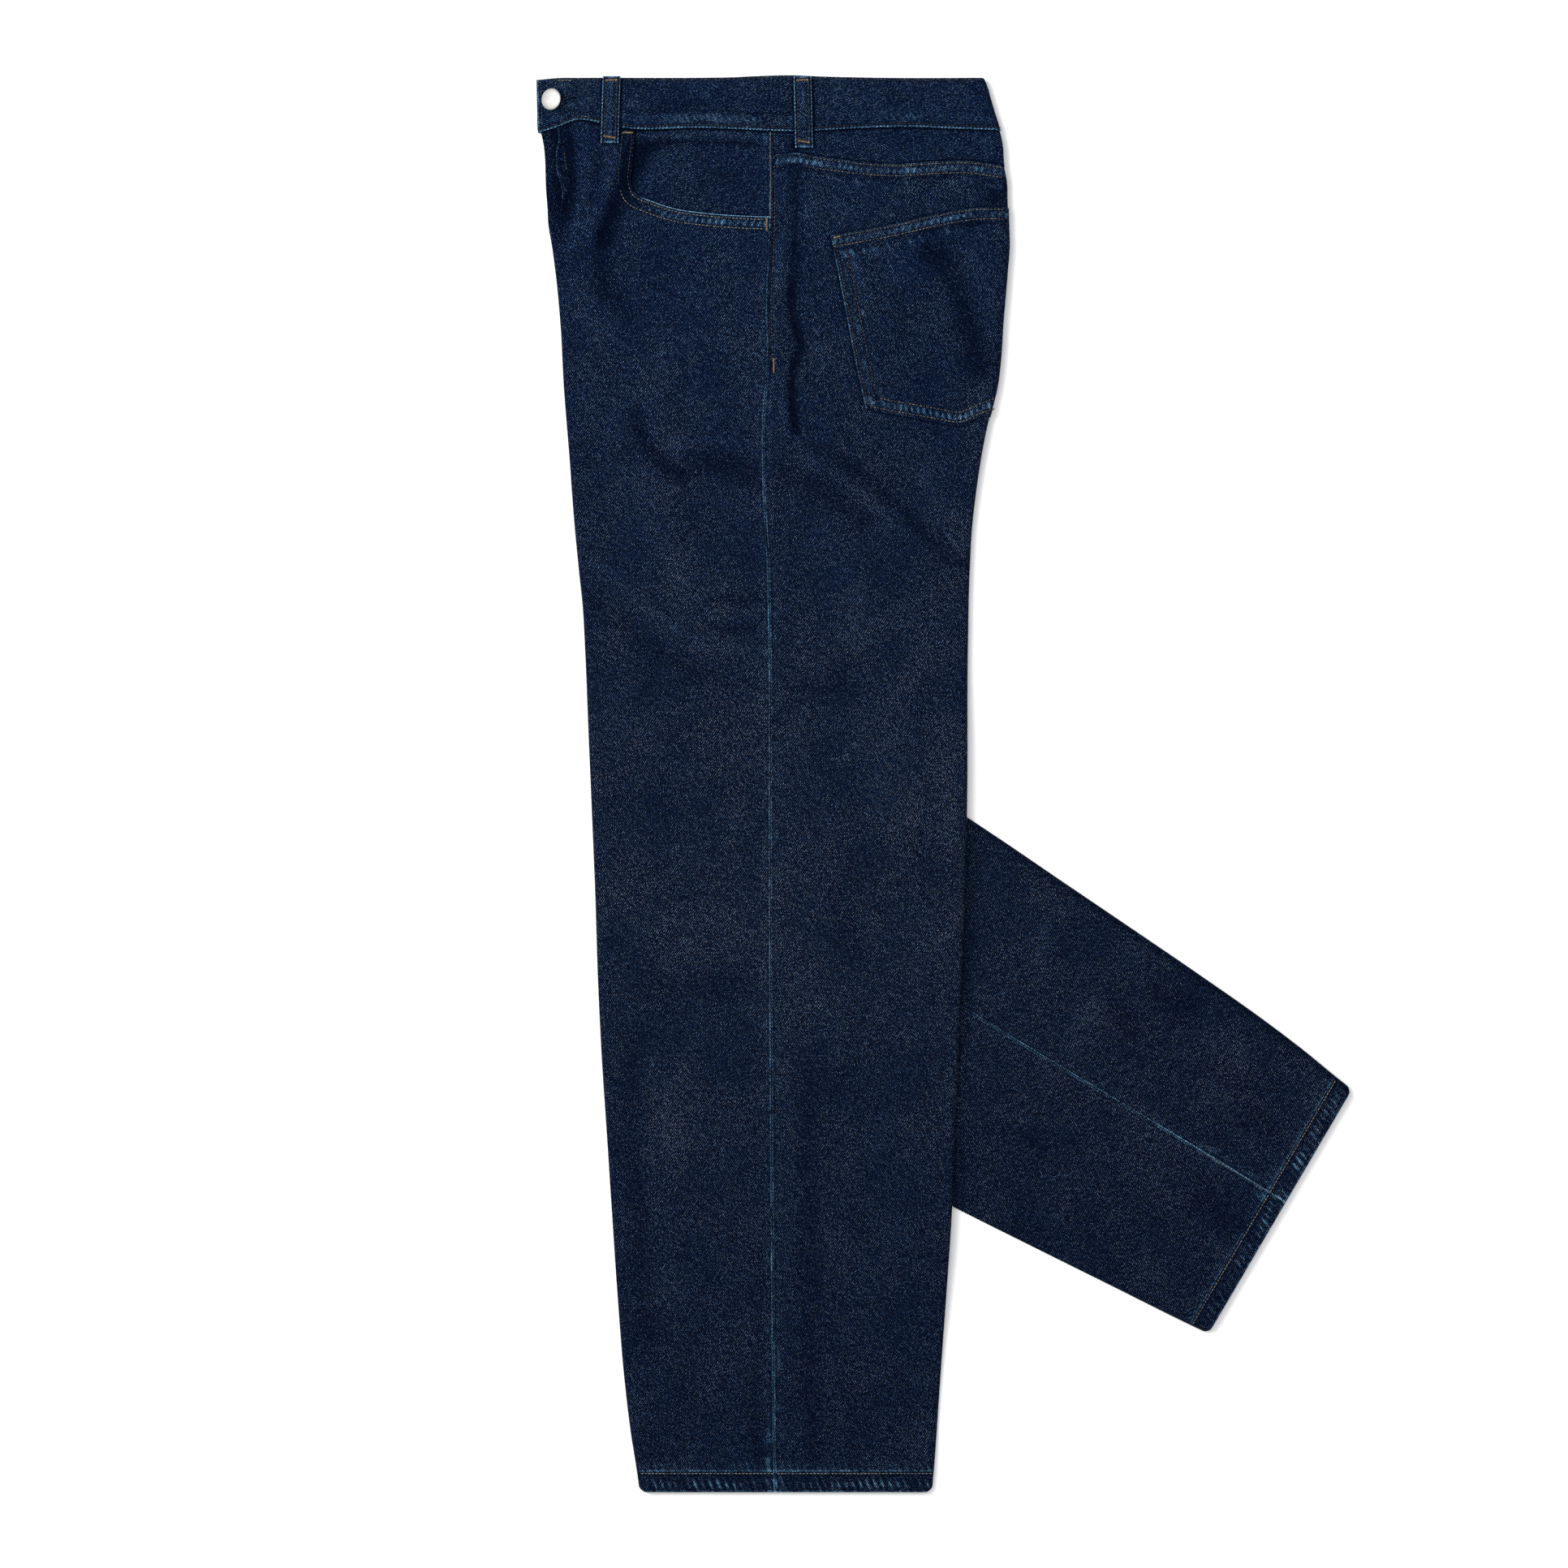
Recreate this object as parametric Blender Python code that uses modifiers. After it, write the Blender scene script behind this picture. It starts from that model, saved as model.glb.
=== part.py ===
"""Wide-leg five-pocket jeans, folded in half lengthwise and laid on their right side.

The left leg is on top and straight. The right leg's lower part is folded under along a diagonal and comes
out beside the left leg. Each panel is one sheet of cloth: it runs from the side seam round the leg's crease
to the inner seam, and above the crotch it ends at the rise.

Every point of the garment is given by three numbers in metres: `across`, from the side seam towards the
back; `down`, below the waistband's top edge; and `out`, the height above the middle of its flattened leg.
"""

import math

import bmesh
import bpy

MM = 0.001

# ---- driving dimensions -------------------------------------------------------------------------------
CLOTH = 1.2 * MM  # denim
DOUBLE_CLOTH = 2.0 * MM  # waistband and fly underlap, two layers sewn flat
SEAM_GAP = 0.3 * MM  # between any two pieces
FOLDED_SEAM_GAP = 2.0 * MM  # the same where a seam runs through the right leg's diagonal fold
LAYER_GAP = 0.4 * MM  # between one leg and the next
LEG_HALF = 1.5 * MM  # half the thickness of a flattened leg
HEM_HALF = 2.7 * MM  # the same at the hem, where the cloth is turned up twice
HEM_HEIGHT = 15 * MM
OUTSEAM = 1096 * MM  # from the waistband's top edge to the hem
HEM_RAMP = OUTSEAM - 60 * MM, OUTSEAM - HEM_HEIGHT - 2 * MM  # where the leg thickens towards the hem
WAISTBAND_HEIGHT = 39.7 * MM
PANEL_TOP = WAISTBAND_HEIGHT + 2 * SEAM_GAP
YOKE_AT_SIDE = 62 * MM
YOKE_AT_BACK = 70 * MM
PANEL_TO_LEG = 310 * MM  # level of the crotch point
UNDERLAP = 33 * MM  # the button end of the waistband, past the front fold
FLY_OPEN_END = 120 * MM  # below this the front's edge is a fold
FLY_END = 116 * MM
FLY_WIDTH = 42 * MM
FLY_STRIP = 20 * MM  # the front panel's strip of finer facets along the open fly

# The edges of the flattened half in millimetres, measured across from the side seam's line. The rows of
# both tables above the crotch are also the rows of the panels' meshes, so that what lies on a panel can
# follow its facets.
OUTLINE_COLUMNS = ("down", "front", "side", "back")
OUTLINE = (
    (0, -180, 0, 165),
    (40, -179, 0, 178),
    (70, -176.5, 0, 182),
    (90, -175, 0, 184),
    (112, -172, 0, 185),
    (135, -169, 0, 184.5),
    (170, -165, -2, 182),
    (205, -162, -3, 179),
    (240, -160, -5, 175),
    (270, -157, -5, 170),
    (292, -156, -5, 165),
    (310, -154.5, -5, 161),
    (350, -152, -3, 156),
    (410, -145, -1, 154),
    (570, -139, 0, 152),
    (700, -134, 0, 149),
    (820, -127, 1, 143),
    (950, -118, 2, 136),
    (1050, -108, 3, 129),
    (1096, -101, 4, 125),
)

# How far each panel runs on beyond the leg's fold above the crotch, up to the rise. Along the open fly it
# is how far the fly's edge stops short of the fold and shows the underlap.
TUCK_COLUMNS = ("down", "front", "back")
TUCK = (
    (40, 13, 12),
    (70, 13, 20),
    (90, 12, 28),
    (112, 8, 38),
    (135, 6, 48),
    (170, 25, 60),
    (205, 42, 74),
    (240, 60, 90),
    (270, 85, 115),
    (292, 112, 142),
)
INSEAM_AT_CROTCH = -12 * MM
INSEAM_AT_HEM = 4 * MM

# The diagonal fold of the right leg: a point on it and its direction, which leans towards the back.
FOLD_POINT = (-134.4 * MM, 388.7 * MM)
FOLD_FRONT_LEVELS = (390 * MM, 548 * MM)  # between these the front edge gives the folded leg's direction
FOLD_LEAN = math.radians(29.8)
FOLD_RADIUS = LEG_HALF + LAYER_GAP / 2
FOLD_TURN = math.pi * FOLD_RADIUS  # length of cloth in the turn
STACK = 2 * LEG_HALF + LAYER_GAP  # one flattened leg and the gap above it

# Where the upper layers climb onto the folded leg, and where the left leg comes down past the fold.
CLIMB_START, CLIMB_END = 110 * MM, 45 * MM
DESCENT_START, DESCENT_END = 10 * MM, 85 * MM

# How far the right leg's outer cloth stands off the surface, on the loops and on the back pocket.
STAND_OFF = ((0, 2.4), (70, 2.4), (90, 1.5), (292, 1.5), (350, 0), (OUTSEAM / MM, 0))

SCOOP_HALF_WIDTH = 106 * MM
SCOOP_DEPTH = 69 * MM
SCOOP_SQUARENESS = 3.5
SCOOP_LEVEL = 60 * MM  # where the cutter's height is taken from the cloth's
SCOOP_REACH = 2.6 * MM  # half the cutter's height
CUT_PAST = 15 * MM  # how far that cutter runs past the edges that it opens
FACING_FRONT = -122 * MM
FACING_END = 125 * MM
FACING_CLOTH = 1.0 * MM
FACING_SEGMENTS = 5

POCKET_TOP = (47 * MM, 125 * MM), 102 * MM  # front corner, and the top edge's level at the back fold
POCKET_BOTTOM = (74 * MM, 256 * MM), 258 * MM
POCKET_POINT_ACROSS = 0.72  # share of the width at which the bottom edge has its point
POCKET_POINT_DROP = 12 * MM

LOOP_WIDTH = 13.9 * MM
LOOP_CLOTH = 1.5 * MM
LOOP_ARCH = 1.2 * MM
LOOP_SEGMENTS = 6
# Name, place across at the waistband's top edge in mm, lean to the side per unit of length, length in mm.
LOOPS = (
    ("front", -122.8, -0.032, 50.4),
    ("side", 24.9, 0.023, 54),
)
BACK_LOOP_IN = 12 * MM  # the centre-back loop's distance from the back fold
BACK_LOOP_LENGTH = 54 * MM

BUTTON_RADIUS = 8.3 * MM
BUTTON_IN = (11.4 * MM, 17.6 * MM)  # from the waistband's end and from its top edge
BUTTON_TILT = math.radians(25)
BUTTON_RIM = 0.5 * MM  # how far the rolled rim reaches below the middle of the head
BUTTON_UNDER = 0.84  # share of the radius at which the rim ends underneath
# The head's profile: share of the radius, height in mm.
BUTTON_DOME = ((0, 2.2), (0.45, 2.05), (0.75, 1.6), (0.93, 0.9), (1, 0.35), (0.97, -0.2))
BUTTON_SEGMENTS = 20
NECK_RADIUS = 1.7 * MM
BUTTONHOLE_ENDS = (-4.1 * MM, 10 * MM)  # on either side of the button's middle
BUTTONHOLE_WIDTH = 4.2 * MM

ACROSS_SEGMENTS = 4
FOLD_SEGMENTS = 4
TUCK_SEGMENTS = 4
BAND_SEGMENTS = 8
ARC_SEGMENTS = 12
FAN_ROWS = 9
LEG_ROWS = 7
LEAST_ROW = 4 * MM  # least distance between two rows


# ---- pattern ------------------------------------------------------------------------------------------
def read(table, column, down):
    """A column of a table in millimetres, read at `down` metres."""
    x = down / MM
    if x <= table[0][0]:
        return table[0][column] * MM
    for low, high in zip(table, table[1:]):
        if x <= high[0]:
            share = (x - low[0]) / (high[0] - low[0])
            return (low[column] + share * (high[column] - low[column])) * MM
    return table[-1][column] * MM


def outline(column, down):
    return read(OUTLINE, OUTLINE_COLUMNS.index(column), down)


def smooth(share):
    share = min(max(share, 0.0), 1.0)
    return share * share * (3 - 2 * share)


def mix(a, b, share):
    return a + (b - a) * share


def hip_levels(above, below):
    """The levels of the tables' rows between two others, above the crotch."""
    return [row[0] * MM for row in TUCK if above < row[0] * MM < below]


def inseam(down):
    return mix(INSEAM_AT_CROTCH, INSEAM_AT_HEM, (down - PANEL_TO_LEG) / (OUTSEAM - PANEL_TO_LEG))


def half(down):
    """Half the thickness of the flattened leg."""
    start, end = HEM_RAMP
    return mix(LEG_HALF, HEM_HALF, smooth((down - start) / (end - start)))


def beyond_fold(across, down):
    """(along, beyond): a point's place along the diagonal fold, and how far past it in the unfolded leg."""
    x, y = across - FOLD_POINT[0], down - FOLD_POINT[1]
    sin, cos = math.sin(FOLD_LEAN), math.cos(FOLD_LEAN)
    return x * sin + y * cos, y * sin - x * cos


def fold_crossing(edge):
    """The level at which the diagonal fold leaves the leg at its front or back edge."""
    low, high = PANEL_TO_LEG, OUTSEAM
    while high - low > 0.01 * MM:
        middle = (low + high) / 2
        if beyond_fold(outline(edge, middle), middle)[1] < 0:
            low = middle
        else:
            high = middle
    return low


def climb(across, down):
    """0 on the surface, 1 where the upper layers lie on the folded lower leg."""
    start, end = FOLD_FRONT_LEVELS
    front_lean = math.atan2(outline("front", end) - outline("front", start), end - start)
    edge_lean = 2 * FOLD_LEAN - front_lean
    x, y = across - FOLD_POINT[0], down - FOLD_POINT[1]
    above_edge = x * math.cos(edge_lean) - y * math.sin(edge_lean)
    return smooth((CLIMB_START - above_edge) / (CLIMB_START - CLIMB_END))


def right_middle(across, down):
    """Height of the middle of the right leg above the surface, before its fold."""
    return LEG_HALF + read(STAND_OFF, 1, down) + STACK * climb(across, down)


def left_middle(across, down):
    """Height of the middle of the left leg above the surface."""
    beyond = beyond_fold(across, down)[1]
    if beyond < 0:
        return right_middle(across, down) + STACK
    high = LEG_HALF + 2 * STACK
    return mix(high, half(down), smooth((beyond - DESCENT_START) / (DESCENT_END - DESCENT_START)))


def place_left(across, down, out):
    return across, -down, left_middle(across, down) + out


def place_right(across, down, out):
    """The right leg is the left one turned over, so `out` points down until the fold turns it up again."""
    along, beyond = beyond_fold(across, down)
    sin, cos = math.sin(FOLD_LEAN), math.cos(FOLD_LEAN)
    if beyond <= 0:
        return across, -down, right_middle(across, down) - out
    turn = min(beyond / FOLD_RADIUS, math.pi)
    reach = (FOLD_RADIUS - out) * math.sin(turn)
    height = LEG_HALF + STACK / 2 + (FOLD_RADIUS - out) * math.cos(turn)
    if turn == math.pi:
        reach = math.pi * FOLD_RADIUS - beyond
        height = half(down) + out
    x = FOLD_POINT[0] + along * sin - reach * cos
    y = FOLD_POINT[1] + along * cos + reach * sin
    return x, -y, height


PLACE = {"left": place_left, "right": place_right}


# ---- building helpers ---------------------------------------------------------------------------------
def clear_scene():
    for obj in list(bpy.data.objects):
        bpy.data.objects.remove(obj, do_unlink=True)


def new_collection(name):
    collection = bpy.data.collections.new(name)
    bpy.context.scene.collection.children.link(collection)
    return collection


def material(name, colour, roughness, metallic=0.0):
    made = bpy.data.materials.new(name)
    made.use_nodes = True
    shader = made.node_tree.nodes["Principled BSDF"]
    shader.inputs["Base Color"].default_value = (*colour, 1.0)
    shader.inputs["Roughness"].default_value = roughness
    shader.inputs["Metallic"].default_value = metallic
    return made


def add_object(name, mesh, look, home):
    mesh.name = name
    mesh.materials.clear()
    mesh.materials.append(look)
    made = bpy.data.objects.new(name, mesh)
    home.objects.link(made)
    made.parent = bpy.data.objects.get("trousers")
    return made


def sheet_mesh(rows, outward_up):
    """A grid of faces through rows of points. Its first face points up if outward_up, or else down."""
    shape = bmesh.new()
    grid = [[shape.verts.new(point) for point in row] for row in rows]
    for upper, lower in zip(grid, grid[1:]):
        for a, b, c, d in zip(upper, upper[1:], lower[1:], lower):
            shape.faces.new((a, b, c, d))
    shape.normal_update()
    first = shape.faces[:][0]
    if (first.normal.z > 0) != outward_up:
        bmesh.ops.reverse_faces(shape, faces=shape.faces[:])
    mesh = bpy.data.meshes.new("sheet")
    shape.to_mesh(mesh)
    shape.free()
    mesh.shade_smooth()
    mesh.set_sharp_from_angle(angle=math.radians(40))
    return mesh


def thicken(obj, thickness, offset=-1.0, group=None):
    solid = obj.modifiers.new("Cloth", "SOLIDIFY")
    solid.thickness = thickness
    solid.offset = offset
    solid.use_even_offset = True
    if group:
        solid.vertex_group = group
    return solid


def cut(obj, cutter):
    boolean = obj.modifiers.new("Cut " + cutter.name, "BOOLEAN")
    boolean.operation = "DIFFERENCE"
    boolean.solver = "EXACT"
    boolean.object = cutter


def outline_cutter(name, points, low, high, home):
    """A closed outline, extruded between two heights and made a mesh that can cut."""
    curve = bpy.data.curves.new(name, "CURVE")
    curve.dimensions = "2D"
    curve.fill_mode = "BOTH"
    curve.extrude = (high - low) / 2
    spline = curve.splines.new("POLY")
    spline.points.add(len(points) - 1)
    for target, (x, y) in zip(spline.points, points):
        target.co = (x, y, 0, 1)
    spline.use_cyclic_u = True
    flat = bpy.data.objects.new(name, curve)
    flat.location.z = (high + low) / 2
    home.objects.link(flat)
    bpy.context.view_layer.update()
    evaluated = flat.evaluated_get(bpy.context.evaluated_depsgraph_get())
    mesh = bpy.data.meshes.new_from_object(evaluated)
    shape = bmesh.new()
    shape.from_mesh(mesh)
    bmesh.ops.remove_doubles(shape, verts=shape.verts[:], dist=0.001 * MM)
    bmesh.ops.recalc_face_normals(shape, faces=shape.faces[:])
    shape.to_mesh(mesh)
    shape.free()
    made = bpy.data.objects.new(name, mesh)
    made.matrix_world = flat.matrix_world
    bpy.data.objects.remove(flat)
    bpy.data.curves.remove(curve)
    made.name = name
    made.parent = bpy.data.objects["trousers"]
    made.hide_render = True
    made.display_type = "WIRE"
    home.objects.link(made)
    return made


# ---- panels -------------------------------------------------------------------------------------------
def section(edge, side, levels):
    """Points (across, down, out) of one row of a panel, from the side seam round the fold to its end.

    `levels` are the row's levels at the front and back edges, which differ where the rows fan towards the
    diagonal fold.
    """
    front_level, back_level = levels
    own_level = front_level if edge == "front" else back_level
    towards = -1 if edge == "front" else 1
    front, back = outline("front", front_level), outline("back", back_level)
    fold = front if edge == "front" else back

    def level_at(across):
        return mix(front_level, back_level, (across - front) / (back - front))

    beyond = beyond_fold(0, level_at(0))[1]
    in_fold = side == "right" and abs(beyond - FOLD_TURN / 2) < FOLD_TURN / 2 + SEAM_GAP
    gap = towards * (FOLDED_SEAM_GAP if in_fold else SEAM_GAP) / 2
    start = outline("side", level_at(0)) + gap
    if own_level < PANEL_TO_LEG:
        last = fold - towards * read(TUCK, TUCK_COLUMNS.index(edge), own_level)
    else:
        last = inseam(level_at(0)) + gap
    places = []  # (across, height as a share of half the leg's thickness)
    if edge == "front" and own_level < FLY_OPEN_END:
        strip = last - towards * FLY_STRIP
        for i in range(ACROSS_SEGMENTS):
            places.append((mix(start, strip, i / ACROSS_SEGMENTS), 1))
        rest = FOLD_SEGMENTS + TUCK_SEGMENTS
        for i in range(rest + 1):
            places.append((mix(strip, last, i / rest), 1))
    else:
        radius = half(own_level)
        tangent = fold - towards * radius
        for i in range(ACROSS_SEGMENTS):
            places.append((mix(start, tangent, i / ACROSS_SEGMENTS), 1))
        for i in range(FOLD_SEGMENTS + 1):
            turn = math.pi * i / FOLD_SEGMENTS
            places.append((tangent + towards * radius * math.sin(turn), math.cos(turn)))
        for i in range(1, TUCK_SEGMENTS + 1):
            places.append((mix(tangent, last, i / TUCK_SEGMENTS), -1))
    return [(across, level_at(across), height * half(level_at(across))) for across, height in places]


def yoke_seam(shift):
    """Levels (front, back) of the yoke's lower edge, moved down by `shift`."""
    slope = (YOKE_AT_BACK - YOKE_AT_SIDE) / outline("back", YOKE_AT_BACK)
    seam = YOKE_AT_SIDE + shift
    return seam + slope * outline("front", seam), seam + slope * outline("back", seam)


def rows_of_leg(edge, side):
    """Levels (front, back) of a panel's rows, from its top to the hem."""
    levels = [yoke_seam(SEAM_GAP / 2) if edge == "back" else (PANEL_TOP, PANEL_TOP)]
    top = YOKE_AT_BACK if edge == "back" else PANEL_TOP
    levels += [(level, level) for level in hip_levels(top, PANEL_TO_LEG)]
    crotch = (PANEL_TO_LEG, PANEL_TO_LEG)
    fold = (fold_crossing("front"), fold_crossing("back"))
    for i in range(FAN_ROWS):
        share = i / FAN_ROWS
        levels.append((mix(crotch[0], fold[0], share), mix(crotch[1], fold[1], share)))
    if side == "right":
        steps = [FOLD_TURN * i / FOLD_SEGMENTS for i in range(FOLD_SEGMENTS + 1)]
    else:
        steps = [0, DESCENT_START]
        steps += [mix(DESCENT_START, DESCENT_END, i / FOLD_SEGMENTS) for i in range(1, FOLD_SEGMENTS + 1)]
    for step in steps:
        down = step / math.sin(FOLD_LEAN)
        levels.append((fold[0] + down, fold[1] + down))
    last = levels[-1]
    ramp, ramp_end = HEM_RAMP
    back_ramp = max(ramp, last[1] + LEAST_ROW)  # the fold leaves the back edge not far above the hem
    for i in range(1, LEG_ROWS + 1):
        share = i / LEG_ROWS
        levels.append((mix(last[0], ramp, share), mix(last[1], back_ramp, share)))
    levels.append((mix(ramp, ramp_end, 0.5), mix(back_ramp, ramp_end, 0.5)))
    levels.append((ramp_end, ramp_end))
    levels.append((OUTSEAM - HEM_HEIGHT, OUTSEAM - HEM_HEIGHT))
    levels.append((OUTSEAM, OUTSEAM))
    return levels


def panel(side, edge, look, home):
    place = PLACE[side]
    rows = []
    hem_rows = []
    for levels in rows_of_leg(edge, side):
        hem_rows.append(min(levels) >= OUTSEAM - HEM_HEIGHT)
        rows.append([place(*point) for point in section(edge, side, levels)])
    made = add_object(f"{side}_{edge}_panel", sheet_mesh(rows, side == "left"), look, home)
    turned_up = made.vertex_groups.new(name="thickness")
    width = len(rows[0])
    for i, in_hem in enumerate(hem_rows):
        turned_up.add(list(range(i * width, (i + 1) * width)), 1.0 if in_hem else 0.5, "REPLACE")
    thicken(made, 2 * CLOTH, group="thickness")
    return made


def yoke(side, look, home):
    bottom = yoke_seam(-SEAM_GAP / 2)
    top = (PANEL_TOP, PANEL_TOP)
    middle = (mix(top[0], bottom[0], 0.5), mix(top[1], bottom[1], 0.5))
    rows = []
    for levels in (top, middle, bottom):
        rows.append([PLACE[side](*point) for point in section("back", side, levels)])
    made = add_object(f"{side}_yoke", sheet_mesh(rows, side == "left"), look, home)
    thicken(made, CLOTH)


def scoop(side, home):
    """Cutter for the hip pocket's mouth: a quarter of a rounded rectangle below the waistband."""
    level = WAISTBAND_HEIGHT
    points = [(CUT_PAST, CUT_PAST - level), (-SCOOP_HALF_WIDTH, CUT_PAST - level)]
    for i in range(ARC_SEGMENTS + 1):
        turn = math.pi / 2 * i / ARC_SEGMENTS
        x = -SCOOP_HALF_WIDTH * math.cos(turn) ** (2 / SCOOP_SQUARENESS)
        y = level + SCOOP_DEPTH * math.sin(turn) ** (2 / SCOOP_SQUARENESS)
        points.append((x, -y))
    points.append((CUT_PAST, -(level + SCOOP_DEPTH)))
    outer = PLACE[side](-SCOOP_HALF_WIDTH / 2, SCOOP_LEVEL, LEG_HALF)[2]
    return outline_cutter(f"{side}_scoop_cutter", points, outer - SCOOP_REACH, outer + SCOOP_REACH, home)


def pocket_facing(side, look, home):
    """The cloth that shows in the pocket's mouth, just inside the front panel."""
    out = LEG_HALF - CLOTH - SEAM_GAP
    rows = []
    for down in [PANEL_TOP] + hip_levels(PANEL_TOP, FACING_END) + [FACING_END]:
        row = []
        for i in range(FACING_SEGMENTS + 1):
            across = mix(-SEAM_GAP / 2, FACING_FRONT, i / FACING_SEGMENTS)
            row.append(PLACE[side](across, down, out))
        rows.append(row)
    made = add_object(f"{side}_pocket_facing", sheet_mesh(rows, side == "left"), look, home)
    thicken(made, FACING_CLOTH)


def back_pocket(side, look, home):
    """Patch pocket on the back panel's own surface, up to the middle of the back fold."""
    out = LEG_HALF + SEAM_GAP + CLOTH
    (top_front, top_level), top_back_level = POCKET_TOP
    (low_front, low_level), low_back_level = POCKET_BOTTOM
    shares = (0, 0.24, 0.48, POCKET_POINT_ACROSS, 0.88, 1)
    back_levels = [top_back_level] + hip_levels(top_back_level, low_back_level) + [low_back_level]
    rows = []
    for i, back_level in enumerate(back_levels):
        part = i / (len(back_levels) - 1)
        front_edge = mix(top_front, low_front, part)
        back_edge = outline("back", back_level) - LEG_HALF
        row = []
        for share in shares:
            point_share = min(share / POCKET_POINT_ACROSS, (1 - share) / (1 - POCKET_POINT_ACROSS))
            down = mix(mix(top_level, low_level, part), back_level, share)
            down += POCKET_POINT_DROP * point_share * part**4
            row.append((mix(front_edge, back_edge, share), down, out))
        level = row[-1][1]
        for turn in (math.pi / 6, math.pi / 3, math.pi / 2):
            row.append((back_edge + out * math.sin(turn), level, out * math.cos(turn)))
        rows.append([PLACE[side](*point) for point in row])
    made = add_object(f"{side}_back_pocket", sheet_mesh(rows, side == "left"), look, home)
    thicken(made, CLOTH)


# ---- waistband, fly, loops and button ------------------------------------------------------------------
def band_heights():
    """Heights of the middle of the waistband's upper, lower and underlap layers."""
    wall = LEG_HALF - CLOTH / 2
    upper = left_middle(0, PANEL_TOP) + wall
    lower = right_middle(0, PANEL_TOP) - wall
    return upper, lower, (upper + lower) / 2


def waistband(look, home, cutters):
    upper, lower, underlap = band_heights()
    back_radius = (upper - lower) / 2
    front_radius = (underlap - lower) / 2
    rows = []
    for down in (0, WAISTBAND_HEIGHT / 2, WAISTBAND_HEIGHT):
        front, back = outline("front", down), outline("back", down)
        front_turn, back_turn = front + front_radius + SEAM_GAP, back - back_radius
        row = [(mix(front, back_turn, i / BAND_SEGMENTS), upper) for i in range(BAND_SEGMENTS)]
        for i in range(BAND_SEGMENTS + 1):
            turn = math.pi * i / BAND_SEGMENTS
            row.append((back_turn + back_radius * math.sin(turn), underlap + back_radius * math.cos(turn)))
        row += [(mix(back_turn, front_turn, i / BAND_SEGMENTS), lower) for i in range(1, BAND_SEGMENTS)]
        for i in range(FOLD_SEGMENTS + 1):
            turn = math.pi * i / FOLD_SEGMENTS
            height = (lower + underlap) / 2 - front_radius * math.cos(turn)
            row.append((front_turn - front_radius * math.sin(turn), height))
        row.append((front_turn + UNDERLAP, underlap))
        rows.append([(x, -down, z) for x, z in row])
    made = add_object("waistband", sheet_mesh(rows, True), look, home)
    thicken(made, DOUBLE_CLOTH, offset=0.0)
    eye = BUTTONHOLE_WIDTH / 2
    x, y = outline("front", BUTTON_IN[1]) + BUTTON_IN[0], -BUTTON_IN[1]
    start, end = x + BUTTONHOLE_ENDS[0] + eye, x + BUTTONHOLE_ENDS[1]
    points = []
    for i in range(BAND_SEGMENTS + 1):
        turn = math.pi / 2 + math.pi * i / BAND_SEGMENTS
        points.append((start + eye * math.cos(turn), y + eye * math.sin(turn)))
    points += [(end, y - eye), (end, y + eye)]
    bottom = upper - DOUBLE_CLOTH / 2 - SEAM_GAP / 2
    cut(made, outline_cutter("buttonhole_cutter", points, bottom, upper + DOUBLE_CLOTH, cutters))


def fly_shield(look, home):
    """The underlap behind the fly, a double strip that shows at the front edge."""
    middle = band_heights()[2]
    rows = []
    for down in [PANEL_TOP] + hip_levels(PANEL_TOP, FLY_END) + [FLY_END]:
        front = outline("front", down)
        top = middle + DOUBLE_CLOTH / 2 - read(STAND_OFF, 1, PANEL_TOP) + read(STAND_OFF, 1, down)
        rows.append([(front + share * FLY_WIDTH, -down, top) for share in (0, 0.5, 1)])
    made = add_object("fly_shield", sheet_mesh(rows, True), look, home)
    thicken(made, DOUBLE_CLOTH)


def belt_loop(name, side, across, length, lean, look, home):
    """A folded strip along the waistband. On the upper side its middle stands off a little."""
    upper, lower, _ = band_heights()
    away = DOUBLE_CLOTH / 2 + SEAM_GAP
    up = 1 if side == "left" else -1
    base = (upper if side == "left" else lower) + up * away
    rows = []
    for i in range(LOOP_SEGMENTS + 1):
        part = i / LOOP_SEGMENTS
        arch = LOOP_ARCH * math.sin(math.pi * part) if side == "left" else 0
        x = across + lean * part * length
        height = base + up * (LOOP_CLOTH + arch)
        rows.append([(x + step * LOOP_WIDTH, -part * length, height) for step in (-0.5, 0.5)])
    made = add_object(name, sheet_mesh(rows, side == "left"), look, home)
    thicken(made, LOOP_CLOTH)
    soft = made.modifiers.new("Soft edges", "BEVEL")
    soft.width = 0.4 * MM
    soft.segments = 1
    soft.limit_method = "ANGLE"
    soft.angle_limit = math.radians(50)


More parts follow.
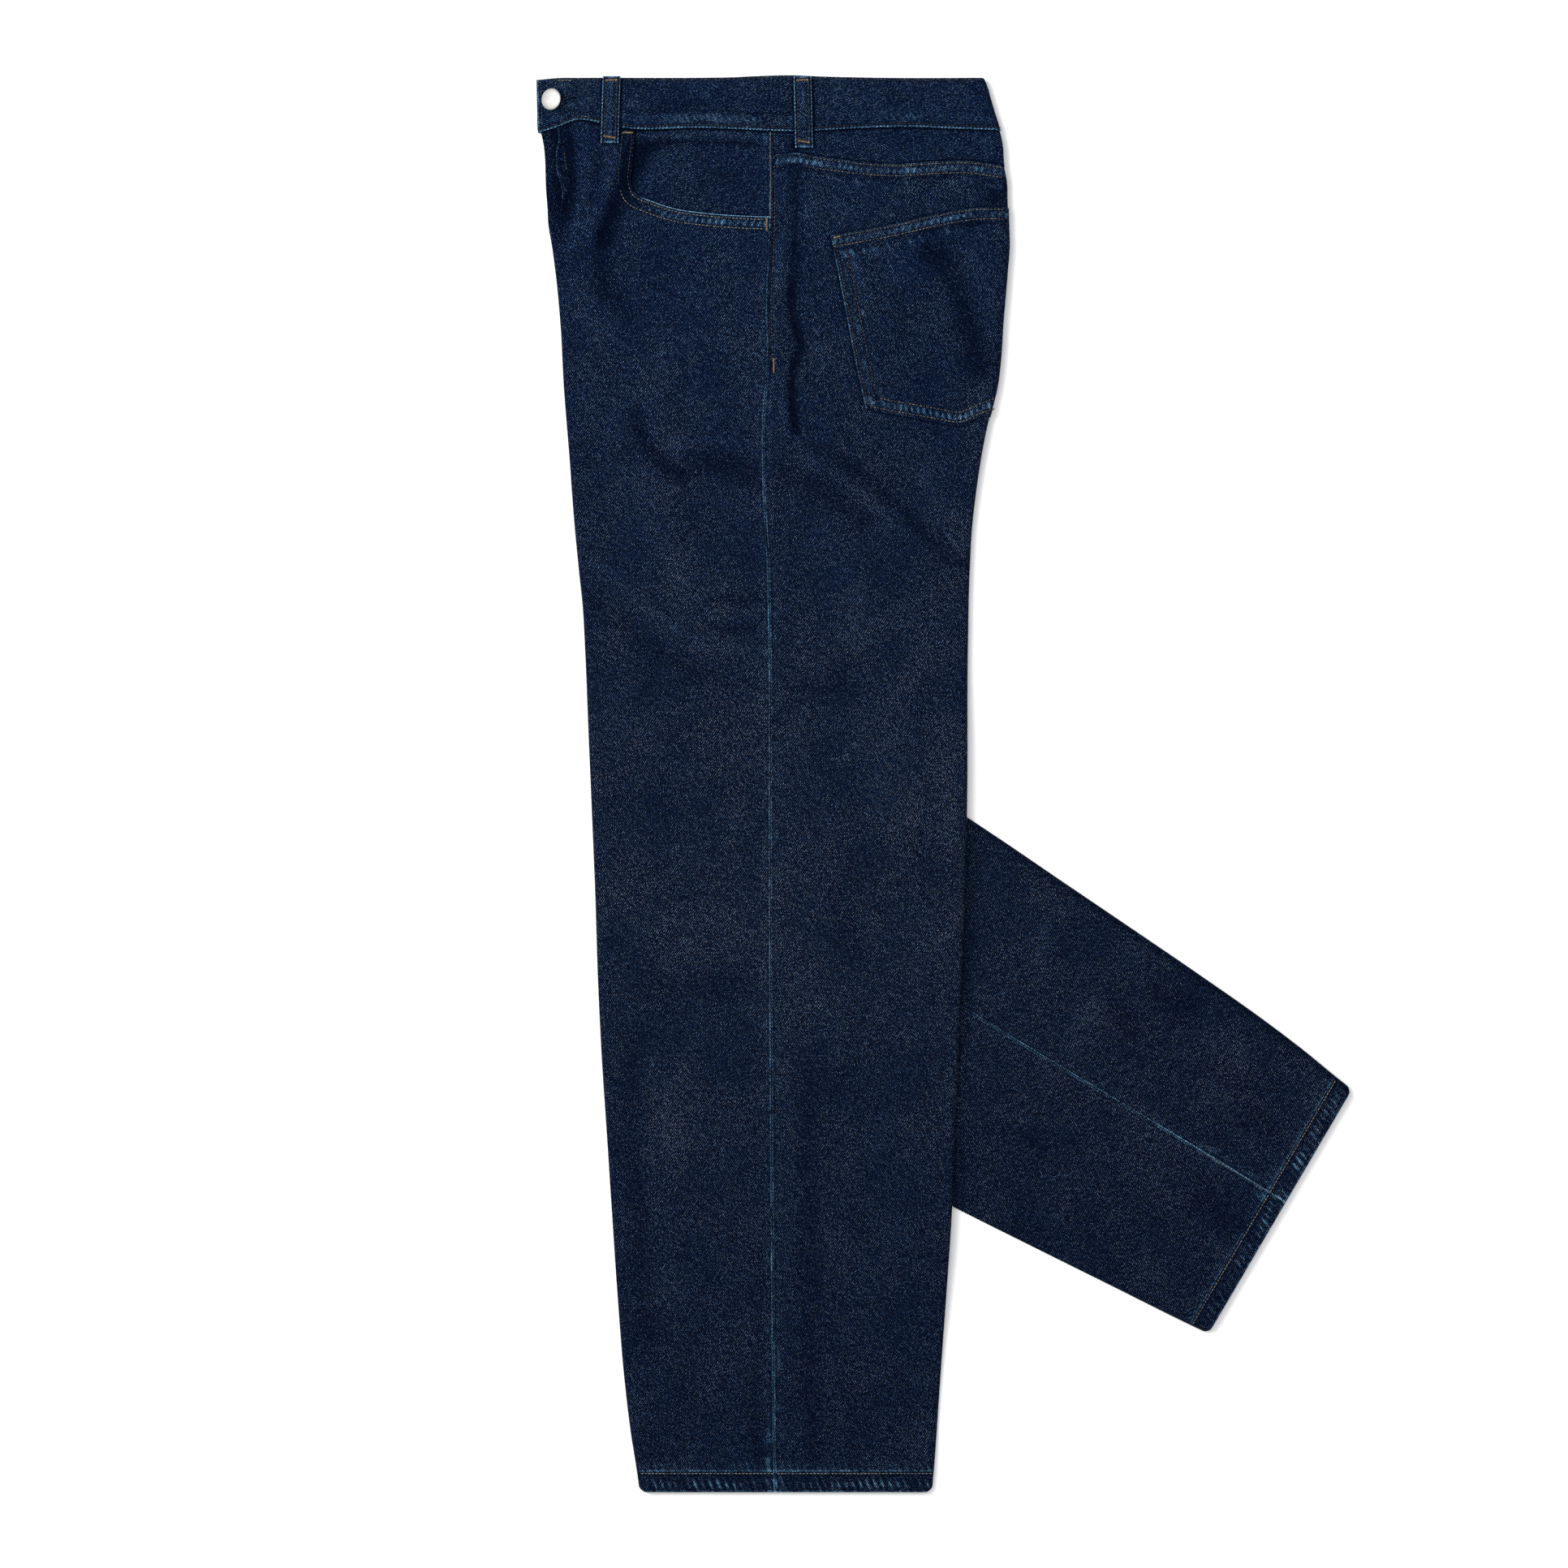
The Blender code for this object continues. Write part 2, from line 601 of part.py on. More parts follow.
def button(look, home):
    """A turned button: domed head, rolled rim and neck, leaning with the waistband's end."""
    upper, _, underlap = band_heights()
    sin, cos = math.sin(BUTTON_TILT), math.cos(BUTTON_TILT)
    foot = underlap + DOUBLE_CLOTH / 2 + SEAM_GAP + NECK_RADIUS * sin
    head = upper + DOUBLE_CLOTH / 2 + SEAM_GAP + BUTTON_RADIUS * sin + BUTTON_RIM * cos
    neck_length = (head - foot) / cos
    points = [(radius * BUTTON_RADIUS, height * MM) for radius, height in BUTTON_DOME]
    points += [(BUTTON_RADIUS * BUTTON_UNDER, -BUTTON_RIM), (NECK_RADIUS, -BUTTON_RIM)]
    points += [(NECK_RADIUS, -neck_length), (0, -neck_length)]
    shape = bmesh.new()
    last = None
    for x, z in points:
        vert = shape.verts.new((x, 0, z))
        if last:
            shape.edges.new((last, vert))
        last = vert
    mesh = bpy.data.meshes.new("button")
    shape.to_mesh(mesh)
    shape.free()
    made = add_object("button", mesh, look, home)
    turned = made.modifiers.new("Turned", "SCREW")
    turned.steps = BUTTON_SEGMENTS
    turned.render_steps = BUTTON_SEGMENTS
    turned.use_merge_vertices = True
    turned.merge_threshold = 0.00001
    made.rotation_euler = (0, -BUTTON_TILT, 0)
    through_band = neck_length / 2 * sin
    middle = outline("front", BUTTON_IN[1]) + BUTTON_IN[0]
    made.location = (middle - through_band, -BUTTON_IN[1], head)


def centre_on_surface(parent, home):
    """Moves the whole garment so that the middle of its footprint is the origin."""
    bpy.context.view_layer.update()
    graph = bpy.context.evaluated_depsgraph_get()
    low, high = [1e9] * 3, [-1e9] * 3
    for obj in home.objects:
        evaluated = obj.evaluated_get(graph)
        for vert in evaluated.to_mesh().vertices:
            point = evaluated.matrix_world @ vert.co
            low = [min(a, b) for a, b in zip(low, point)]
            high = [max(a, b) for a, b in zip(high, point)]
        evaluated.to_mesh_clear()
    parent.location = (-(low[0] + high[0]) / 2, -(low[1] + high[1]) / 2, -low[2])


def main():
    clear_scene()
    home = new_collection("trousers")
    cutters = new_collection("cutters")
    parent = bpy.data.objects.new("trousers", None)
    bpy.context.scene.collection.objects.link(parent)
    denim = material("indigo_denim", (0.015, 0.024, 0.046), 0.85)
    metal = material("button_metal", (0.80, 0.79, 0.76), 0.3, 1.0)
    for side in ("left", "right"):
        front = panel(side, "front", denim, home)
        cut(front, scoop(side, cutters))
        panel(side, "back", denim, home)
        yoke(side, denim, home)
        pocket_facing(side, denim, home)
        back_pocket(side, denim, home)
    waistband(denim, home, cutters)
    fly_shield(denim, home)
    for side in ("left", "right"):
        for name, across, lean, length in LOOPS:
            belt_loop(f"{name}_{side}_loop", side, across * MM, length * MM, lean, denim, home)
    back_lean = (outline("back", WAISTBAND_HEIGHT) - outline("back", 0)) / WAISTBAND_HEIGHT
    centre = outline("back", 0) - BACK_LOOP_IN
    belt_loop("centre_back_loop", "right", centre, BACK_LOOP_LENGTH, back_lean, denim, home)
    button(metal, home)
    centre_on_surface(parent, home)


main()
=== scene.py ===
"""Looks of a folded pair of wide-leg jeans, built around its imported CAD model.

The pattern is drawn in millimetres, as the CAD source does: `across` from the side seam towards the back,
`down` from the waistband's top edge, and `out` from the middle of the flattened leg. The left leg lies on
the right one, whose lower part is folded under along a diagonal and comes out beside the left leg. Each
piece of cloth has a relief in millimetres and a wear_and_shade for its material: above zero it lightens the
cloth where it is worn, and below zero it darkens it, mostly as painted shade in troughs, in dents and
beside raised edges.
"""

import math

import bpy
import numpy as np
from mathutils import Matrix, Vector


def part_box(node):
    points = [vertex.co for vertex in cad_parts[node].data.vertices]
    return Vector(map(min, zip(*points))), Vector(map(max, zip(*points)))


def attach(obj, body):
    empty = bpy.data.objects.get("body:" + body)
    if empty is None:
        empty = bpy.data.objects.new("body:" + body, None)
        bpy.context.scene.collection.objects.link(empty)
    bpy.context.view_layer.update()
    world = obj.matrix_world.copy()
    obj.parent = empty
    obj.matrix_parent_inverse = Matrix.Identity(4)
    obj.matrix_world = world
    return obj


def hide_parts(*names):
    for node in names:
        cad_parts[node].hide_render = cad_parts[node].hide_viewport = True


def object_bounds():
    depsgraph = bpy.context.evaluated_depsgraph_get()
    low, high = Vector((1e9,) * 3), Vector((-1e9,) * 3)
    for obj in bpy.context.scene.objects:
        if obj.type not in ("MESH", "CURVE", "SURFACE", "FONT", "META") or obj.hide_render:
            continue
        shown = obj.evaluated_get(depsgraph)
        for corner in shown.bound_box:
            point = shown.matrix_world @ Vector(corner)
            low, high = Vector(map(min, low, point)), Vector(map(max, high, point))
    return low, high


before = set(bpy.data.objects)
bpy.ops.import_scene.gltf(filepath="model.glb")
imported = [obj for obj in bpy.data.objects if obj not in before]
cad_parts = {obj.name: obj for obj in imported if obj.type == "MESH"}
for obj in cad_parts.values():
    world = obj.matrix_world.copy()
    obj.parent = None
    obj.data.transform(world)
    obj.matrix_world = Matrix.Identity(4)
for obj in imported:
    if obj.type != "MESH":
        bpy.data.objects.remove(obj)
CAD_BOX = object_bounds()

MM = 0.001
SIDES = "left", "right"

# ---- sizes that the CAD model has too, in millimetres ---------------------------------------------------
CLOTH = 1.2
SEAM_GAP = 0.3
BAND_GAP = 0.5
LAYER_GAP = 0.4
LEG_HALF = 1.5
HEM_HALF = 2.7
HEM_HEIGHT = 15
OUTSEAM = 1096
HEM_RAMP = OUTSEAM - 60, OUTSEAM - HEM_HEIGHT - 2
BAND_HEIGHT = 39.7
BAND_HALF = 1.0
CROTCH = 310
INSEAM_AT_CROTCH, INSEAM_AT_HEM = -12, 4
FOLD_POINT = -134.4, 388.7
FOLD_LEAN = math.radians(29.8)
FOLD_SIN, FOLD_COS = math.sin(FOLD_LEAN), math.cos(FOLD_LEAN)
FOLD_FRONT_LEVELS = 390, 548
FOLD_RADIUS = LEG_HALF + LAYER_GAP / 2
FOLD_TURN = math.pi * FOLD_RADIUS
STACK = 2 * LEG_HALF + LAYER_GAP
CLIMB_START, CLIMB_END = 110, 45
DESCENT_START, DESCENT_END = 10, 85
STAND_OFF = ((0, 2.4), (70, 2.4), (90, 1.5), (292, 1.5), (350, 0), (OUTSEAM, 0))
UNDERLAP, UNDERLAP_WIDTH = 33, 42
FLY_TOP, FLY_END = 40, 118
LOOP_WIDTH = 13.9
LOOP_CLOTH = 1.5
LOOP_ARCH = 1.2
# Belt loops that both sides have: name, place across, lean and length.
LOOPS = (("front", -122.8, -0.032, 50.4), ("side", 24.9, 0.023, 54))
BACK_LOOP_IN = 12
BUTTON_RADIUS = 8.3
BUTTON_RIM = 0.5
BUTTON_IN = 11.4, 17.6
BUTTON_TILT = math.radians(25)
NECK_RADIUS = 1.7

# ---- edges and seams of the laid garment, in millimetres ------------------------------------------------
FRONT_EDGE = (
    (0, -180.2), (15, -179.6), (40, -178.9), (52, -176.6), (90, -174.5), (115, -172), (128, -169.7),
    (153, -166.3), (191, -162.7), (241, -160), (292, -155.8), (348, -151.6), (380, -148.5), (411, -145.3),
    (443, -143.6), (506, -141.2), (569, -138.6), (632, -136), (695, -134), (758, -131), (821, -126.8),
    (884, -122.7), (947, -118.4), (1010, -113.2), (1050, -108.4), (1080, -103.6), (1096, -101.4),
)
BACK_EDGE = (
    (0, 165), (6, 167), (15, 169.7), (27, 173.3), (40, 177.7), (52, 180.2), (65, 181), (78, 183.2),
    (95, 183.8), (115, 184.3), (128, 184.7), (153, 183), (191, 179.8), (216, 178.2), (241, 175.1),
    (254, 172), (267, 168.8), (292, 163.8), (317, 160), (348, 156.4), (380, 154.6), (443, 153.1),
    (569, 152.3), (700, 148.6), (790, 144.4), (884, 140.3), (947, 136.1), (1010, 131.7), (1073, 127.3),
    (1096, 125.3),
)
SIDE_SEAM = (
    (0, 0), (128, 0), (176, -2.3), (215, -1.5), (240, -3.3), (258, -4.8), (320, -4.8), (370, -2), (457, 0),
    (570, 0), (700, 0.4), (820, 1), (950, 2), (1050, 3), (1096, 3.9),
)
FLY_EDGE = (
    (40, -165.3), (48, -164), (58, -165.8), (71, -165.7), (87, -161.6), (100, -162.2), (110, -164.4),
    (121, -168),
)
# How far the cloth runs on underneath, from the front fold and from the back fold.
FRONT_REACH = (
    (40, 35), (100, 35), (122, 20), (140, 8), (170, 25), (205, 42), (240, 60), (270, 85), (292, 112),
    (310, 142.4),
)
BACK_REACH = (
    (40, 12), (70, 20), (90, 28), (112, 38), (135, 48), (170, 60), (205, 74), (240, 90), (270, 115),
    (292, 142), (310, 172.8),
)
# Seams that run across: place across, level.
BAND_TOP = (
    (-181, 1.9), (-171, 0.9), (-164, 0.3), (-150, 0.2), (-110, 0.2), (-60, 0.2), (-30, -0.2), (-10, -1.1),
    (14, -1.8), (40, -0.8), (80, 0.1), (190, 0.1),
)
BAND_BOTTOM = (
    (-181, 43.6), (-165, 38.6), (-149, 33), (-133, 35.2), (-115, 39), (-56, 39.2), (35, 41.5), (56, 40.2),
    (104, 38.5), (140, 39.7), (190, 41.6),
)
YOKE_SEAM = (
    (-6, 61.2), (2, 60.4), (18, 58.8), (38, 61.6), (68, 65.4), (98, 67.3), (128, 65.4), (152, 64.9),
    (190, 70.4),
)
SCOOP = (
    (-106, 34), (-106, 46), (-107.6, 66), (-108.6, 80), (-105.6, 89.6), (-92.2, 96.4), (-72.8, 102.6),
    (-51, 105.7), (-9, 108.4), (8, 108.6),
)
POCKET_TOP_EDGE = (
    (46.6, 122.9), (53.6, 121.6), (92, 114.7), (128, 106.5), (152.5, 102), (168, 100.8), (190, 102),
)
POCKET_SIDE_EDGE = ((46.6, 122.9), (52.6, 152), (60.5, 193), (67, 226), (73.7, 256.4))
POCKET_LOW_EDGE = (
    (73.7, 256.4), (92, 260.6), (112, 264), (132, 267.6), (147, 269.6), (160, 264), (180, 256.5),
)

# ---- view and light -------------------------------------------------------------------------------------
VIEW_CENTRE = -126.1, 0.7
VIEW_WIDTH = 1217.2
LENS, SENSOR = 100, 36
# Square lights: name, place and aim in metres, size and power.
LIGHTS = (
    ("overhead", (0.0, 0.0, 4.6), (0, 0, 0), 4.0, 115.0),
    ("key", (-1.9, 0.9, 2.4), (-0.1, 0, 0), 1.6, 92.0),
)
WORLD_COLOUR, WORLD_STRENGTH = (0.96, 0.97, 1.0, 1), 0.42
FLOOR_HALF, FLOOR_DROP = 8.0, 0.0003  # in metres

# ---- how the cloth is made, in millimetres --------------------------------------------------------------
PUFF = 2.4  # how much the upper cloth of a flattened leg stands above the CAD solid
HEM_PUFF = 0.55  # the share of it left at the hem
ROLL = 4.6  # width of the rounding along a leg's edge
HIP_ROLL = 7.5  # the same at the back of the hip
BAND_ROLL = 4.0  # the same at the waistband's back fold
BAND_LEVEL = 40.3  # where the waistband's layers have the leg's heights
WAIST = 345  # width of the waist, laid flat
UNDERLAP_LENGTH = 80
LEG_DRAWN_IN = 7.0  # how much narrower the right leg's shown part lies than it was cut
FLY_TURN = 1.5  # distance between the two layers of the fly's folded edge
PANEL_LEVEL, YOKE_LEVEL, YOKE_END = 40.0, 66.0, 68.0  # where front and back begin, and the yoke ends
HEM_FINE = 1068  # from here down a panel's rows are closer
HEM_ROLL = 1.1
HEM_CORNER = 2.6  # how far a hem's corners are rounded in
HEM_INSIDE = 3.0, 7.0, 13  # how far up inside the hem its last rows are
SEAM_STEPS = (0, 0.35, 0.7, 1.1, 1.6, 2.2, 3, 4, 5.2, 6.6, 8)  # columns beside the side seam
FLAT_COLUMNS, UNDER_COLUMNS = 102, 10
TOP_ROLL_STEPS, LOW_ROLL_STEPS = 8, 5
# Where a panel begins: the seam above it, the gap below that, its level, and how soon its rows are level.
PANEL_TOPS = {"front": (BAND_BOTTOM, BAND_GAP, PANEL_LEVEL, 34), "back": (YOKE_SEAM, 0, YOKE_LEVEL, 30)}
# Levels and spacing of the left panels' rows above the crotch.
FINE_ROWS = {"front": ((40, 0.7), (47, 1.5), (88, 0.9), (120, 1.5)), "back": ((66, 0.7), (82, 1.5))}
FACING_REACH, FACING_END = 122, 122  # how far the pocket's facing goes forward and down
SCOOP_AREA = -125, 125  # nothing of the pocket's mouth is beyond these places across and down
LEVEL_PART = -104, 10  # from here towards the side the mouth's edge runs level, and is more worn
POCKET_LEVELS = 101.5, 257.5  # of the back pocket's corners at the back fold
POCKET_WRAP = math.radians(100)
# Rings round the pocket mouth's edge: step inwards, drop and wear_and_shade. The last ring, turned back
# under the edge, is painted dark as shade.
RIM = ((0.35, 0.12, 0.9), (0.62, 0.5, 0.8), (0.55, 1.1, 0.2), (-0.4, 1.5, -0.5))
SEEDS = {"front": 100, "back": 200, "yoke": 300, "pocket": 200, "facing": 500}
RIGHT_SEED, FACING_SIDE_SEED = 1000, 530
# How each cut is turned in the weave, in degrees.
CUT_TURNS = {"front": 0, "back": 0, "yoke": 94, "facing": 84.5, "pocket": 0, "underlap": 50}

STITCH, STITCH_LENGTH = 2.8, 2.128  # from one stitch to the next, and the part of it that shows
THREAD = 0.7
# Distances of the rows of stitches from the edge or seam that they follow.
SCOOP_ROWS, YOKE_ROWS, POCKET_TOP_ROWS, POCKET_ROWS = (1.7, 9.0), (1.5, 9.2), (1.6, 9.0), (2.5, 10.3)
SIDE_ROW, HEM_ROW, LOOP_ROW = 2.8, 14.6, 2.6
# A stitch's rings: place from end to end, height and thickness.
THREAD_RINGS = ((-1, -0.5, 0.45), (-0.62, 0.35, 0.95), (0, 0.72, 1.0), (0.62, 0.35, 0.95), (1, -0.5, 0.45))
FLY_ROW = ((-159.6, 58), (-158.8, 64), (-157.4, 73))
# The waistband's rows: border (0 upper, 1 lower), step down from it, first and last station, brightness.
BAND_ROWS = (
    (0, 1.7, 0.04, 3, 0.12), (0, 2.2, 0.045, 0.085, 0.85),
    (1, -2.7, 0.006, 3, 0.05), (1, -2.9, 0.09, 0.12, 0.7),
)
BAND_END_ROWS = 0.0072, 4.93  # stations of the rows down its two ends
# Bartacks on both sides: piece, its two ends, and its width.
SIDE_BARS = (
    ("front", ((-114, 42.8), (-106.6, 42.8)), 1.2),
    ("front", ((-2.8, 109.6), (-2.8, 119)), 1.4),
    ("back", ((2.6, 218), (2.6, 228.5)), 1.3),
    ("pocket", ((49, 124.5), (54, 123.6)), 1.0),
)
# The button's profile: radius and height over the middle of its head, None at the foot.
BUTTON_PROFILE = (
    (0.01, 1.6), (1.5, 1.58), (3.0, 1.52), (4.4, 1.42), (5.6, 1.28), (6.5, 1.1), (7.2, 0.9), (7.6, 0.76),
    (7.9, 0.62), (8.15, 0.42), (8.3, 0.15), (8.25, -0.15), (8.0, -0.42), (7.4, -0.5), (6.9, -0.5),
    (1.7, -0.5), (1.7, None), (0.01, None),
)

# Creases of the upper side: panels, height (a trough is below zero), half its width, and the points it
# runs through, as pairs (across, down).
CREASES = (
    ("front facing", -2.4, 7.5, ((-98, 46), (-105, 62), (-112, 82), (-121, 103), (-129, 124), (-131, 136))),
    ("front", -1.1, 7, ((-126, 114), (-131, 134), (-131, 156), (-125, 180))),
    ("facing", -1.6, 4.6, ((-70, 49), (-84, 50.5), (-94, 54), (-102, 64), (-106, 80))),
    ("facing", -1.3, 1.8, ((-4, 52), (-30, 50.5), (-60, 50), (-84, 50))),
    ("front", -0.6, 6, ((-128, 138), (-124, 160), (-112, 180), (-104, 196))),
    ("front", 1.2, 5, ((-118, 60), (-124, 84), (-134, 108), (-141, 132))),
    ("front", -1.0, 4, ((-132, 52), (-134, 78), (-140, 104))),
    ("front", 1.3, 4, ((-141, 50), (-144, 78), (-149, 110), (-154, 140))),
    ("front", -1.7, 3.6, ((-155, 42), (-154, 60), (-153, 84), (-160, 108))),
    ("front", 0.8, 6, ((-152, 178), (-134, 190), (-118, 204), (-102, 226), (-94, 246), (-84, 266))),
    ("front", -1.3, 5.4, ((-106, 252), (-101, 272), (-92, 290), (-80, 302), (-58, 314))),
    ("front", -0.85, 11, ((-74, 290), (-48, 296), (-24, 304), (2, 314))),
    ("front", 0.9, 6, ((-92, 258), (-84, 276), (-66, 284), (-40, 282), (-16, 280))),
    ("front", 1.3, 5, ((-146, 372), (-126, 384), (-108, 400), (-84, 422), (-52, 440), (-14, 444))),
    ("front", -0.8, 3.6, ((-48, 402), (-26, 406), (-5, 403))),
    ("front", 0.6, 3.4, ((-48, 413), (-26, 416), (-5, 414))),
    ("front", -0.9, 3.6, ((-54, 424), (-30, 428), (-5, 425))),
    ("front", -0.6, 8, ((-144, 396), (-124, 418), (-96, 438), (-66, 456), (-40, 468), (-16, 472))),
    ("front", -0.5, 10, ((-100, 545), (-80, 570), (-66, 598))),
    ("front", -0.5, 12, ((-110, 700), (-60, 706), (-12, 700))),
    ("front", -0.5, 8, ((-107, 735), (-106, 800), (-103, 860), (-97, 900), (-99, 940), (-94, 990))),
    ("front", 0.5, 12, ((-86, 750), (-82, 860), (-78, 960))),
    ("front", -0.5, 5, ((-7, 915), (-8, 975), (-12, 1035), (-9, 1078))),
    ("back", -1.25, 3.4, (
        (19, 70), (20, 100), (19.5, 140), (17, 170), (20, 195), (24, 206), (18, 226), (18, 256), (21, 282),
    )),
    ("back", -1.2, 3.4, ((17, 150), (17, 170), (20, 195), (24, 206), (18, 226), (18, 256), (21, 282))),
    ("back", 1.3, 4.5, ((10, 118), (8.5, 140), (8, 168))),
    ("back", 1.2, 4.5, ((11, 222), (9.5, 250), (12, 278))),
    ("back", 0.7, 6, ((33, 82), (33, 118))),
    ("back", -1.0, 5.5, ((26, 284), (42, 290), (60, 300), (90, 324), (112, 346), (134, 366), (156, 384))),
    ("front back", -0.85, 10, ((-2, 304), (16, 308), (34, 316), (60, 332), (84, 350))),
    ("back", 0.8, 7, ((22, 296), (48, 306), (74, 326), (104, 352))),
    ("back", 0.7, 8, ((110, 300), (128, 322), (144, 350))),
    ("back pocket", -1.6, 6, ((166, 95), (176, 94), (190, 92))),
    ("back", -0.5, 12, ((20, 470), (44, 474), (66, 470))),
    ("back", 0.5, 9, ((93, 456), (104, 486), (98, 520))),
    ("back", 0.5, 6, ((140, 520), (141, 560), (140, 600))),
    ("back", -0.25, 14, ((70, 590), (60, 640), (66, 690))),
    ("back", -0.55, 9, ((28, 745), (27, 812), (30, 880), (27, 940), (31, 990), (33, 1030), (36, 1076))),
    ("back", 0.4, 9, ((13, 760), (14, 880), (14, 1000), (16, 1076))),
    ("back", 0.4, 12, ((86, 800), (92, 880), (88, 960))),
    ("front", 0.9, 16, ((-118, 300), (-98, 335), (-75, 375), (-52, 410))),
    ("front", 0.6, 16, ((-76, 765), (-70, 835))),
    ("back", 0.8, 18, ((48, 350), (62, 395), (66, 450))),
    ("back", 0.7, 20, ((78, 480), (90, 530), (92, 590))),
    ("back", 0.6, 13, ((24, 716), (66, 722))),
    ("yoke", -1.4, 4, ((19, 48), (19, 68))),
    ("yoke", 0.8, 5, ((164, 46), (170, 62))),
    ("back pocket", -1.4, 10, ((116, 128), (132, 142), (144, 162), (152, 191), (159, 216), (164, 240))),
    ("back pocket", 0.9, 7, ((150, 124), (160, 148), (168, 176), (172, 210))),
    ("back pocket", 0.6, 5, ((56, 128), (68, 148), (76, 176))),
    ("back pocket", -0.6, 4, ((52, 132), (60, 152), (66, 180))),
    ("back pocket", -0.4, 8, ((96, 160), (104, 190), (100, 220))),
    ("facing", 0.8, 6, ((-76, 58), (-88, 72), (-94, 86))),
    ("facing", -0.5, 6, ((-60, 86), (-40, 78), (-20, 84))),
)
# Creases of the lower right leg, in the place where it lies, as the table above.
LEG_CREASES = (
    (0.9, 7, ((257, 704), (244, 726), (234, 748), (229, 764))),
    (0.7, 7, ((222, 640), (214, 664), (208, 690))),
    (0.5, 8, ((280, 676), (295, 664), (312, 656))),
    (-0.7, 9, ((262, 712), (276, 730), (284, 750))),
    (0.6, 5, ((168, 795), (184, 803), (202, 812))),
    (-0.5, 6, ((176, 808), (196, 818), (214, 826))),
    (-0.6, 11, ((330, 862), (352, 880), (366, 900))),
    (-0.5, 10, ((360, 800), (382, 808), (398, 822))),
    (0.5, 10, ((330, 740), (356, 752), (380, 772))),
    (-0.5, 12, ((290, 700), (310, 716), (336, 724))),
)

# Creases of the waistband's upper side, as the table above.
BAND_CREASES = (
    (0.8, 1.8, ((-166, 9), (-160, 6), (-155, 3))),
    (0.9, 2.4, ((-158, 22), (-150, 20), (-140, 18))),
    (-0.7, 2.2, ((-160, 18), (-152, 16), (-143, 14))),
    (-0.6, 3, ((-160, 28), (-148, 26), (-134, 27))),
    (0.5, 3, ((-90, 30), (-60, 31), (-30, 29))),
    (0.6, 1.8, ((-33, 31), (-25, 27.5), (-10, 26))),
    (-0.4, 4, ((-100, 24), (-60, 22), (-20, 24))),
    (0.4, 4, ((60, 30), (100, 28), (140, 30))),
)


# ---- reading the pattern --------------------------------------------------------------------------------
def rise(value, start, run):
    """From 0 at `start` smoothly up to 1, `run` further on."""
    share = np.clip((value - start) / run, 0.0, 1.0)
    return share * share * (3 - 2 * share)


def fall(value, start, run):
    """From 1 at `start` smoothly down to 0, `run` further on."""
    return 1 - rise(value, start, run)


def bump(distance, width):
    """1 at no distance, falling smoothly to 0 on both sides."""
    return np.exp(-((distance / width) ** 2))


def mix(a, b, share):
    return a + (b - a) * share


def parts(count):
    """The ends of `count` equal parts of 1."""
    return np.linspace(0, 1, count + 1)[1:]


def stops(*stretches):
    """Values from stretch to stretch, each given by its start and spacing, the last one being the end."""
    values = []
    for (start, spacing), (end, _) in zip(stretches, stretches[1:]):
        values.append(np.linspace(start, end, max(int(round((end - start) / spacing)), 1), endpoint=False))
    return np.concatenate((*values, [stretches[-1][0]]))


def stacked(*items):
    """Arrays of one coordinate each, joined to one array of points."""
    return np.stack(np.broadcast_arrays(*items), -1)


def through(table, x):
    """A smooth line through the table's pairs, read at x."""
    xs, ys = np.array(table, float).T
    slopes = np.gradient(ys, xs)
    x = np.clip(np.asarray(x, float), xs[0], xs[-1])
    i = np.clip(np.searchsorted(xs, x) - 1, 0, len(xs) - 2)
    span = xs[i + 1] - xs[i]
    t = (x - xs[i]) / span
    start = ys[i] * (1 + 2 * t) * (1 - t) ** 2 + slopes[i] * span * t * (1 - t) ** 2
    end = ys[i + 1] * t * t * (3 - 2 * t) - slopes[i + 1] * span * t * t * (1 - t)
    return start + end


def straight(table, x):
    """The table's pairs joined by straight lines, read at x."""
    return np.interp(x, *np.array(table, float).T)


def travel_along(points):
    """The way gone along a line at each of its points."""
    return np.concatenate(([0], np.cumsum(np.linalg.norm(np.diff(points, axis=0), axis=1))))


def smooth_line(points, step=3.0):
    """Points along a smooth line through others, about `step` apart."""
    points = np.array(points, float)
    travel = travel_along(points)
    at = np.linspace(0, travel[-1], max(int(travel[-1] / step), 2) + 1)
    return stacked(*(through(stacked(travel, column), at) for column in points.T))


def distance_to(line, a, d):
    """(distance, travel along the line, side) of points. Side is above zero to the left of its travel."""
    best = np.full(np.shape(a), 1e9)
    travel, side = np.zeros(np.shape(a)), np.zeros(np.shape(a))
    gone = 0.0
    for (x0, y0), (x1, y1) in zip(line, line[1:]):
        x, y = x1 - x0, y1 - y0
        length = math.hypot(x, y)
        t = np.clip(((a - x0) * x + (d - y0) * y) / length**2, 0, 1)
        away = np.hypot(a - x0 - t * x, d - y0 - t * y)
        nearer = away < best
        best = np.where(nearer, away, best)
        travel = np.where(nearer, gone + t * length, travel)
        side = np.where(nearer, x * (d - y0) - y * (a - x0), side)
        gone += length
    return best, travel, side


def noise(x, y, seed):
    """Smooth noise from -1 to 1, with one value of its own at each whole number of x and y."""
    values = np.random.default_rng(seed).uniform(-1, 1, (128, 128))
    x, y = np.broadcast_arrays(np.asarray(x, float), np.asarray(y, float))
    i, j = np.floor(x).astype(int), np.floor(y).astype(int)
    u, v = rise(x, i, 1), rise(y, j, 1)
    i, j, i1, j1 = i % 128, j % 128, (i + 1) % 128, (j + 1) % 128
    return mix(mix(values[i, j], values[i1, j], u), mix(values[i, j1], values[i1, j1], u), v)


def side_seam(down):
    return through(SIDE_SEAM, down)


def outline(edge, down):
    return through(FRONT_EDGE if edge == "front" else BACK_EDGE, down)


def fold_edge(edge, down):
    """Where the leg's front or back fold is. Above the fly's end the front cloth stops at its edge."""
    if edge != "front":
        return outline(edge, down)
    return mix(through(FLY_EDGE, down), outline(edge, down), rise(down, 107, 12))


